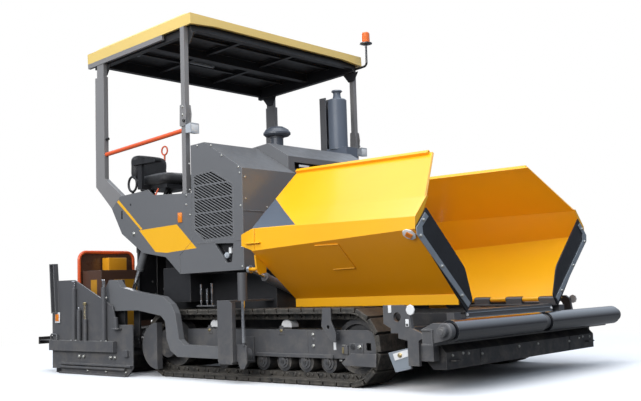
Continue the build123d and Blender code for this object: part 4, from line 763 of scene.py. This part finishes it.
def front_trims():
    """Blank white tabs, deflector plates, sill edges and bolts at the machine's front."""
    face = -EYE_FACE
    with on_root("White_tabs", "white_paint") as shape:
        shape.plate(face, (1.826, 0.537), (1.854, 0.590), 0.004, 0.0015)
        shape.lathe((2.016, face + SUNK, 0.556), OUT, [(0, 0.037), (0.006, 0.037), (0.009, 0.033)], 8)
        shape.plate(face, (1.972, 0.442), (2.000, 0.494), 0.004, 0.0015)
        shape.plate(-BEAM_OUT, (1.238, 0.262), (1.264, 0.318), 0.004, 0.0015)
    with on_root("Tab_bolts", "black_steel") as shape:
        shape.bolts(Y, face - 0.004, 0.009, (1.986, 0.455))

    sheet, pad = -1.2035, -1.2085
    sheet_outline = [(1.791, 0.258), (1.850, 0.125), (1.980, 0.154), (1.984, 0.299)]
    pad_outline = [(1.835, 0.252), (1.852, 0.205), (1.965, 0.238), (1.962, 0.286)]
    with on_root("Deflector_faces", "galvanised", smooth=0) as shape:
        shape.prism(sheet_outline, Y, sheet, -1.199)
    with on_root("Deflector_pads", "white_paint", smooth=0) as shape:
        shape.prism(pad_outline, Y, pad, sheet + 0.0005)
    with on_root("Deflector_nuts", "brass") as shape:
        shape.bolts(Y, pad, 0.017, (1.896, 0.245))

    with on_root("Sill_edges", "galvanised", smooth=0) as shape:
        for low, high in ((0.508, 0.513), (0.466, 0.478)):
            shape.box((2.100, -0.660, low), (2.104, 0.0, high))
    with on_root("Sill_bolts", "white_paint") as shape:
        shape.bolts(X, 2.1015, 0.012, (-0.648, 0.498))
        shape.lathe((WING_FRONT - 0.002, -HINGE_Y, HINGE_Z), AHEAD, [(0, 0.022), (0.004, 0.022)], 20)
    rear, front, half = WING_REAR + 0.01, WING_FRONT - 0.004, 0.003
    with on_root("Hinge_pins", "black_steel") as shape:
        shape.rod((rear, -HINGE_Y, HINGE_Z), (front, -HINGE_Y, HINGE_Z), 0.016, 16)
    with on_root("Hinge_strips", "black_steel") as shape:
        shape.box((WING_REAR + 0.04, -HINGE_Y - half, 0.515), (WING_FRONT - 0.02, -HINGE_Y + half, 0.548))
    with on_root("Hinge_nuts", "brass") as shape:
        shape.bolts(X, WING_FRONT + 0.002, 0.011, (-HINGE_Y, HINGE_Z))

    cap = [(0, 0.030), (0.003, 0.030), (0.003, 0.022), (0.009, 0.020)]
    seal = [(0, 0.056), (0.004, 0.056), (0.007, 0.050), (0.007, 0.046)]
    with on_root("Push_hubs", "low_shaded_charcoal") as shape:
        shape.lathe((2.350, -1.370, 0.415), OUT, cap, 24)
        shape.lathe((2.350, -1.325, 0.415), OUT, seal, 32)
    loop = [(0.0, -1.085), (0.030, -1.080), (0.030, -0.985), (0.0, -0.980)]
    with on_root("Bumper_fittings", "black_steel") as shape:
        shape.box((BUMPER_FRONT, -0.700, 0.150), (BUMPER_FRONT + 0.004, -0.694, 0.262))
        shape.box((BUMPER_FRONT, -1.100, 0.152), (BUMPER_FRONT + 0.005, -0.690, 0.158))
        shape.tube([(BUMPER_FRONT + out, y, 0.205) for out, y in loop], 0.006)
    with on_root("Bumper_bolts", "zinc") as shape:
        shape.bolts(X, BUMPER_FRONT, 0.010, (-1.060, 0.240), (-0.930, 0.247), (-0.858, 0.240),
                    (-0.679, 0.225), (-0.148, 0.240))


def shoe_places(pitch):
    """Places of the track's shoes: along the top and round the idler, then the same turned upside down."""
    radius = TRACK_RADIUS - SHOE_THICK
    run = IDLER_X - SPROCKET_X
    middle = Matrix.Translation(((SPROCKET_X + IDLER_X) / 2, 0, TRACK_RADIUS))
    for half_turn in (0.0, math.pi):
        for index in range(SHOES // 2):
            along = (index + 0.5) * pitch
            turn = max(0.0, (along - run) / radius)
            spot = (min(along, run) - run / 2 + radius * math.sin(turn), 0, radius * math.cos(turn))
            upright = middle @ Matrix.Rotation(half_turn, 4, "Y") @ Matrix.Translation(spot)
            yield upright @ Matrix.Rotation(turn, 4, "Y")


def track_trims():
    """Fittings on the track frames, hubs of the rollers, and end plates and pins along the tracks."""
    face = -BEAM_OUT
    with on_root("Frame_plates", "low_shaded_charcoal", bevel=0.001) as shape:
        shape.plate(face, (0.973, 0.214), (0.979, 0.410), 0.003)
        shape.plate(face, (0.979, 0.404), (1.230, 0.410), 0.003)
        shape.plate(face, (1.025, 0.317), (1.047, 0.352), 0.0025, 0.001)
        shape.plate(face, (1.318, 0.232), (1.378, 0.300), 0.012, 0.003)
        shape.plate(face, (1.392, 0.236), (1.520, 0.312), 0.005, 0.002)
        for x in CARRIERS:
            outline = [(x - 0.032, 0.372), (x + 0.030, 0.372), (x + 0.016, 0.440), (x - 0.012, 0.440)]
            shape.prism(outline, Y, face - 0.006, face + 0.004)
    with on_root("Frame_bolts", "zinc") as shape:
        shape.bolts(Y, face, 0.014, (1.033, 0.374), (1.035, 0.288))
        shape.bolts(Y, face, 0.016, (1.431, 0.214))
        shape.bolts(Y, face - 0.005, 0.017, (1.486, 0.286))
        shape.box((1.292, face - 0.006, 0.180), (1.318, face, 0.192), 0.001)
        shape.box((1.330, face - 0.016, 0.296), (1.362, face - 0.010, 0.304), 0.001)
    with on_root("Frame_nuts", "brass") as shape:
        shape.bolts(Y, face - 0.006, 0.013, *((x + 0.002, 0.402) for x in CARRIERS))
        shape.box((1.330, face - 0.017, 0.240), (1.344, face - 0.011, 0.284), 0.001)

    rollers, first, spacing, axle = 6, 1.163, 0.231, 0.161
    hub = [(0, 0.052), (0.010, 0.050), (0.010, 0.034), (0.022, 0.032)]
    cap = [(0, 0.028), (0.004, 0.028), (0.006, 0.024)]
    with on_root("Roller_hubs", "low_shaded_charcoal") as shape:
        for index in range(rollers):
            x = first - spacing * index
            shape.lathe((x, -1.107, axle), OUT, hub, 20)
            shape.box((x - 0.030, -1.135, axle + 0.004), (x + 0.012, -1.108, axle + 0.036), 0.004)
        shape.lathe((IDLER_X, face + SUNK, TRACK_RADIUS), OUT, cap, 20)
    with on_root("Level_rods", "chrome") as shape:
        shape.rod((0.498, -1.348, 0.318), (0.498, -1.348, 0.648), 0.0155, 20)

    pitch = 2 * (IDLER_X - SPROCKET_X + math.pi * (TRACK_RADIUS - SHOE_THICK)) / SHOES
    half = (pitch - SHOE_GAP) / 2
    low, high = -TRACK_OUT - 0.003, -TRACK_OUT + SUNK
    with on_root("Shoe_ends", "track_steel") as shape:
        for place in shoe_places(pitch):
            shape.box((-half, low, -0.001), (half, high, 0.011), turn=place)
            shape.box((-half * 0.8, low, -0.024), (-half * 0.3, high, -0.016), turn=place)
            for shift in (-0.022, 0.022):
                pin = place @ Vector((shift, -1.103, -0.052))
                shape.lathe(pin, OUT, [(0, 0.013), (0.006, 0.013), (0.009, 0.009)], 8)

    with on_root("Grease_fittings", "chrome", both=False) as shape:
        for x, top in ((-0.248, 0.785), (-0.172, 0.745), (-0.112, 0.790)):
            shape.rod((x, -1.115, 0.600), (x, -1.115, top), 0.006, 12)
            for low, high, radius in ((0.630, 0.650, 0.011), (top - 0.085, top - 0.040, 0.010),
                                      (top - 0.030, top, 0.010)):
                shape.lathe((x, -1.115, low), UP, [(0, radius), (high - low, radius)], 10)
    with on_root("Fitting_bar", "low_shaded_charcoal", both=False) as shape:
        shape.box((-0.290, -1.132, 0.596), (-0.070, -1.096, 0.608), 0.002)


def housing_trims():
    """Bolts, seams and lamps on the housings, the side panels and the hood."""
    face = -SIDE
    with on_root("Housing_bolts", "zinc", both=False) as shape:
        shape.bolts(Y, face, 0.0085, (-0.145, 1.959), (0.026, 1.942), (0.153, 1.842), (0.352, 1.725),
                    (0.364, 1.677), (-0.252, 1.817), (-0.252, 1.595), (0.365, 1.409), (-0.298, 1.549),
                    (-0.298, 1.471), (-0.252, 1.380), (0.370, 1.074), (0.370, 0.916))
        shape.bolts(X, HOUSE_FRONT, 0.0075, (-1.190, 1.643), (-1.187, 1.465), (-0.937, 1.406))
    with on_root("Housing_seams", "charcoal", bevel=0.0008) as shape:
        shape.plate(face, (-0.165, 1.128), (0.045, 1.133), 0.003)
        shape.plate(face, (0.290, 1.128), (HOUSE_FRONT, 1.133), 0.003)
        shape.box((HOUSE_FRONT - 0.002, face + 0.004, 1.366), (HOUSE_FRONT + 0.004, -0.600, 1.372))
        shape.box((HOUSE_FRONT - 0.004, face - 0.002, 0.892), (HOUSE_FRONT + 0.002, face + 0.004, 1.712))
        shape.plate(face, (-0.397, 0.884), (-0.392, 1.040), 0.002)
    with on_root("Side_lamps", "amber_lens") as shape:
        shape.plate(face, (-0.405, 1.322), (-0.353, 1.408), 0.010, 0.004)
    # Painted shade: thin black plates and a disc stand for the dark of holes in the side panel
    with on_root("Side_hole_shade", "black_plastic") as shape:
        shape.plate(face, (-1.206, 1.412), (-1.186, 1.486), 0.0015, 0.001)
        shape.lathe((-1.066, face + 0.0005, 1.533), OUT, [(0, 0.011), (0.002, 0.010)], 12)
    with on_root("Latches", "zinc") as shape:
        shape.bolts(Y, face, 0.019, (-1.024, 1.263))

    with on_root("Tray_block", "white_paint", both=False) as shape:
        shape.box((0.196, face + 0.050, 1.030), (0.226, face + 0.024, 1.078), 0.004)
    lamp = [(0, 0.026), (0.020, 0.026), (0.026, 0.020), (0.026, 0.012), (0.034, 0.010)]
    with on_root("Tray_lamp", "grey_plastic", both=False) as shape:
        shape.lathe((0.152, face + 0.054, 1.014), (0.2, -1, 0.1), lamp, 18)
    with on_root("Hood_lamp", "clear_lens", both=False) as shape:
        shape.box((0.300, -0.430, 1.790), (0.309, -0.300, 1.812), 0.003)


def post_trims():
    """Bolts, strips and lamps on the posts and under the roof."""
    with on_root("Knee_bolts", "zinc") as shape:
        shape.bolts(Y, -1.208, 0.011, (-0.340, 2.330), (-0.340, 2.258))
    with on_root("Post_fittings", "black_plastic") as shape:
        shape.lathe((-0.322, -1.205, 2.205), (0.3, -1, 0), [(0, 0.014), (0.016, 0.014), (0.022, 0.010)], 12)
        shape.rod((-1.4825, -1.175, 2.194), (-1.448, -1.175, 2.194), 0.013, 14)
        shape.box((-1.640, -1.186, 2.100), (-1.6175, -1.164, 2.500), 0.003)
    with on_root("Post_strips", "orange_paint") as shape:
        shape.box((-1.632, -1.190, 2.125), (-1.6175, -1.1845, 2.490))
    with on_root("Post_rods", "white_paint") as shape:
        shape.rod((-1.632, -1.180, 1.890), (-1.632, -1.180, 2.096), 0.006, 10)
    with on_root("Work_lamp_faces", "clear_lens") as shape:
        shape.box((-0.243, -1.215, 2.098), (-0.219, -1.135, 2.162), 0.004)
    with on_root("Roof_lamps", "grey_plastic", both=False) as shape:
        shape.box((-1.230, -0.345, 3.018), (-1.200, -0.025, 3.036), 0.003)
        shape.box((-1.330, -1.015, 3.010), (-1.300, -0.900, 3.028), 0.003)


def screed_trims():
    """Bolts, springs, lamps and handles on the end gates, and sheets and boxes on the screed's walkways."""
    body = "screed_extension"
    face = -GATE_FACE
    bar, column, beam = face - 0.020, face - 0.022, 0.306
    springs = (-1.740, -1.275)
    with on_sides("Gate_bolts", "zinc", body) as shape:
        shape.bolts(Y, face, 0.017, *((x, 0.160) for x in (-1.680, -1.615, -1.203, -1.143)))
        shape.bolts(Y, face, 0.011, *((x, 0.034) for x in (-1.552, -1.271, -0.984)))
        shape.bolts(Y, face, 0.015, (-1.262, 0.693))
        shape.bolts(Z, beam, 0.010, *((x + shift, column) for x in springs for shift in (-0.034, 0.034)))

    turns, sides, step, radius = 26, 8, 0.005, 0.0100
    thread = [(-1.560 + radius * u, column + radius * v) for u, v in circle(sides)] * turns
    with on_sides("Gate_threads", "brass", body) as shape:
        shape.tube([(x, y, 0.505 + step * index / sides) for index, (x, y) in enumerate(thread)], 0.0016, 5)
        shape.lathe((-1.560, column, 0.634), UP, [(0, 0.017), (0.020, 0.017), (0.024, 0.012)], 6)
    handle = [(-2.118, beam), (-2.118, 0.350), (-2.105, 0.362), (-2.030, 0.362), (-2.018, 0.350),
              (-2.018, beam)]
    with on_sides("Gate_fittings", "low_shaded_charcoal", body) as shape:
        shape.rod((-1.655, bar, beam), (-1.655, bar, 0.590), 0.020, 18)
        shape.rod((-1.092, bar, 0.420), (-1.092, bar, 0.520), 0.020, 18)
        shape.plate(face, (-1.140, 0.412), (-1.040, 0.424), 0.040, 0.002)
        shape.box((-1.1170, face - 0.041, 0.208), (-1.1135, face - 0.001, 0.308))
        shape.tube([(x, bar, z) for x, z in handle], 0.008)
    with on_sides("Gate_caps", "chrome", body) as shape:
        shape.lathe((-1.655, bar, 0.590), UP, [(0, 0.012), (0.018, 0.012), (0.022, 0.008)], 14)
        for x in springs:
            shape.lathe((x, column, 0.850), UP, [(0, 0.017), (0.006, 0.017), (0.010, 0.012)], 16)

    hoop = [(-1.080, 0.430), (-1.080, 1.070), (-1.060, 1.125), (-1.005, 1.150), (-0.495, 1.150),
            (-0.440, 1.125), (-0.420, 1.070), (-0.420, 0.430)]
    with on_sides("Hoop_sheets", "brown_paint", body, smooth=0) as shape:
        shape.prism(hoop, X, -2.084, -2.078)
    with on_sides("Control_boxes", "mustard_paint", body) as shape:
        shape.box((-2.060, -0.820, 0.956), (-1.950, -0.600, 1.090), 0.006)
    with on_sides("Gate_lamp_frames", "white_paint", body) as shape:
        shape.plate(face, (-2.070, 0.468), (-1.990, 0.568), 0.006, 0.004)
    with on_sides("Gate_lamps", "amber_lens", body) as shape:
        shape.box((-2.058, face - 0.012, 0.484), (-2.006, face - 0.005, 0.552), 0.003)


def cab_trims():
    """Levers, loops and the ring handle at the operator's seats."""
    ring = [(-1.155 + 0.060 * u, -1.125, 1.735 + 0.070 * v) for u, v in circle(24)]
    loop = [(-1.240 + 0.042 * u, -0.670, 2.100 + 0.042 * v) for u, v in circle(20)]
    with on_root("Seat_handles", "black_plastic") as shape:
        shape.tube(ring, 0.011, closed=True)
        shape.rod((-1.155, -1.125, 1.660), (-1.155, -1.110, 1.600), 0.013, 12)
        shape.rod((-1.080, -1.110, 1.905), (-1.130, -1.110, 1.780), 0.016, 12)
        for y in (-0.770, -0.950):
            shape.tube([(-1.110, y, SEAT_TOP - 0.360), (-0.980, y, SEAT_TOP - 0.200),
                        (-0.840, y, SEAT_TOP - 0.075)], 0.013)
    with on_root("Seat_loops", "orange_paint") as shape:
        shape.rod((-1.240, -0.670, 2.000), (-1.240, -0.670, 2.066), 0.009, 10)
        shape.tube(loop, 0.008, closed=True)
        shape.rod((-0.880, -1.045, SEAT_TOP - 0.035), (-0.905, -1.075, SEAT_TOP - 0.120), 0.007, 10)


def rear_aprons():
    """Dark sheets that hang from the deck's cross wall behind the tracks, with their bolts."""
    bottom, top, front = 0.475, 1.120, -1.150
    with on_root("Rear_aprons", "black_steel", bevel=0.002) as shape:
        shape.box((-1.156, -1.085, bottom), (front, -0.700, top))
        shape.box((front, -1.085, bottom), (-1.128, -1.079, top))
        shape.box((front, -0.862, bottom), (-1.140, -0.856, top))
    with on_root("Apron_bolts", "low_shaded_charcoal") as shape:
        shape.bolts(X, front, 0.010, (-0.913, 0.832), (-0.880, 0.715), (-0.780, 0.760))


def make_camera():
    """Camera at the place, angle and lens solved from the photograph."""
    flat = math.cos(CAMERA_PITCH)
    ahead = Vector((-math.sin(CAMERA_YAW) * flat, math.cos(CAMERA_YAW) * flat, math.sin(CAMERA_PITCH)))
    aside = Vector((math.cos(CAMERA_YAW), math.sin(CAMERA_YAW), 0.0))
    above = aside.cross(ahead)
    side = aside * math.cos(CAMERA_ROLL) + above * math.sin(CAMERA_ROLL)
    top = above * math.cos(CAMERA_ROLL) - aside * math.sin(CAMERA_ROLL)
    data = bpy.data.cameras.new("Camera")
    data.sensor_width = SENSOR_MM
    data.lens = FOCAL_PX * SENSOR_MM / PHOTO_WIDTH
    data.shift_x = (PHOTO_WIDTH / 2 - CENTRE_PX[0]) / PHOTO_WIDTH
    data.shift_y = (CENTRE_PX[1] - PHOTO_HEIGHT / 2) / PHOTO_WIDTH
    data.clip_end = 200
    camera = bpy.data.objects.new("Camera", data)
    camera.matrix_world = Matrix.Translation(CAMERA_AT) @ Matrix((side, top, -ahead)).transposed().to_4x4()
    bpy.context.scene.collection.objects.link(camera)
    bpy.context.scene.camera = camera


def area_light(name, place, target, size, power):
    """Rectangular lamp that points from a place to a target."""
    data = bpy.data.lights.new(name, "AREA")
    data.shape = "RECTANGLE"
    data.size, data.size_y = size
    data.energy = power
    lamp = bpy.data.objects.new(name, data)
    lamp.location = place
    lamp.rotation_euler = (Vector(target) - Vector(place)).to_track_quat("-Z", "Y").to_euler()
    bpy.context.scene.collection.objects.link(lamp)


def make_lights():
    """Soft daylight: a sky that is brighter overhead, a broad overhead panel and two side panels."""
    area_light("Overhead", (1.0, -2.0, 8.5), (0.0, 0.0, 0.5), (9.0, 7.0), 545)
    area_light("Right", (1.5, -10.0, 4.5), (0.0, 0.0, 1.2), (9.0, 4.0), 690)
    area_light("Rear_left", (-7.0, 6.0, 5.0), (0.0, 0.0, 1.2), (4.0, 4.0), 160)
    world = bpy.data.worlds.new("Studio")
    world.use_nodes = True
    sky = Nodes(world.node_tree)
    rays = sky.node("LightPath").outputs
    seen = sky.math("MAXIMUM", rays["Is Camera Ray"], rays["Is Transmission Ray"])
    way = sky.node("SeparateXYZ", {0: sky.node("TexCoord").outputs["Generated"]})
    shade = sky.mix(sky.ramp(way.outputs[Z], -0.05, 0.55), (0.10, 0.10, 0.11), (0.80, 0.90, 1.05))
    sky.link(sky.mix(seen, shade, (1.0, 1.0, 1.0)), sky.tree.nodes["Background"].inputs["Color"])
    bpy.context.scene.world = world


def make_floor():
    """Pale floor that keeps the shadow near the machine and runs out into white."""
    near, far, size = 3.4, 6.0, 40.0
    grid = bmesh.new()
    bmesh.ops.create_grid(grid, x_segments=1, y_segments=1, size=size)
    plane = add_object("Floor", grid)
    plane.location.z = -0.002
    look = Look("floor")
    seen = look.node("LightPath").outputs["Is Camera Ray"]
    grain = look.ramp(look.noise(3.0, 5.0), 0.3, 0.7, 0.0, 0.02)
    pale = look.mix(grain, (0.86, 0.86, 0.86), (0.80, 0.80, 0.80))
    look.set(Base_Color=look.mix(seen, (0.15, 0.15, 0.15), pale), Roughness=0.9, Specular_IOR_Level=0.1)
    flat = look.node("Mapping", {"Vector": look.place, "Scale": (0.8, 1.0, 0.0)}).outputs[0]
    away = look.ramp(look.node("VectorMath", {0: flat}, operation="LENGTH").outputs["Value"], near, far)
    white = look.node("Emission", {"Color": (1.0, 1.0, 1.0)}).outputs[0]
    blend = look.node("MixShader", {0: look.times(away, seen), 1: look.shader.outputs[0], 2: white})
    look.link(blend.outputs[0], look.tree.nodes["Material Output"].inputs["Surface"])
    plane.data.materials.append(look.mat)


make_looks()
dress_nodes()
wing_trims()
front_trims()
track_trims()
housing_trims()
post_trims()
screed_trims()
cab_trims()
rear_aprons()
make_seats()
make_camera()
make_lights()
make_floor()

bpy.context.scene.view_settings.view_transform = "Standard"
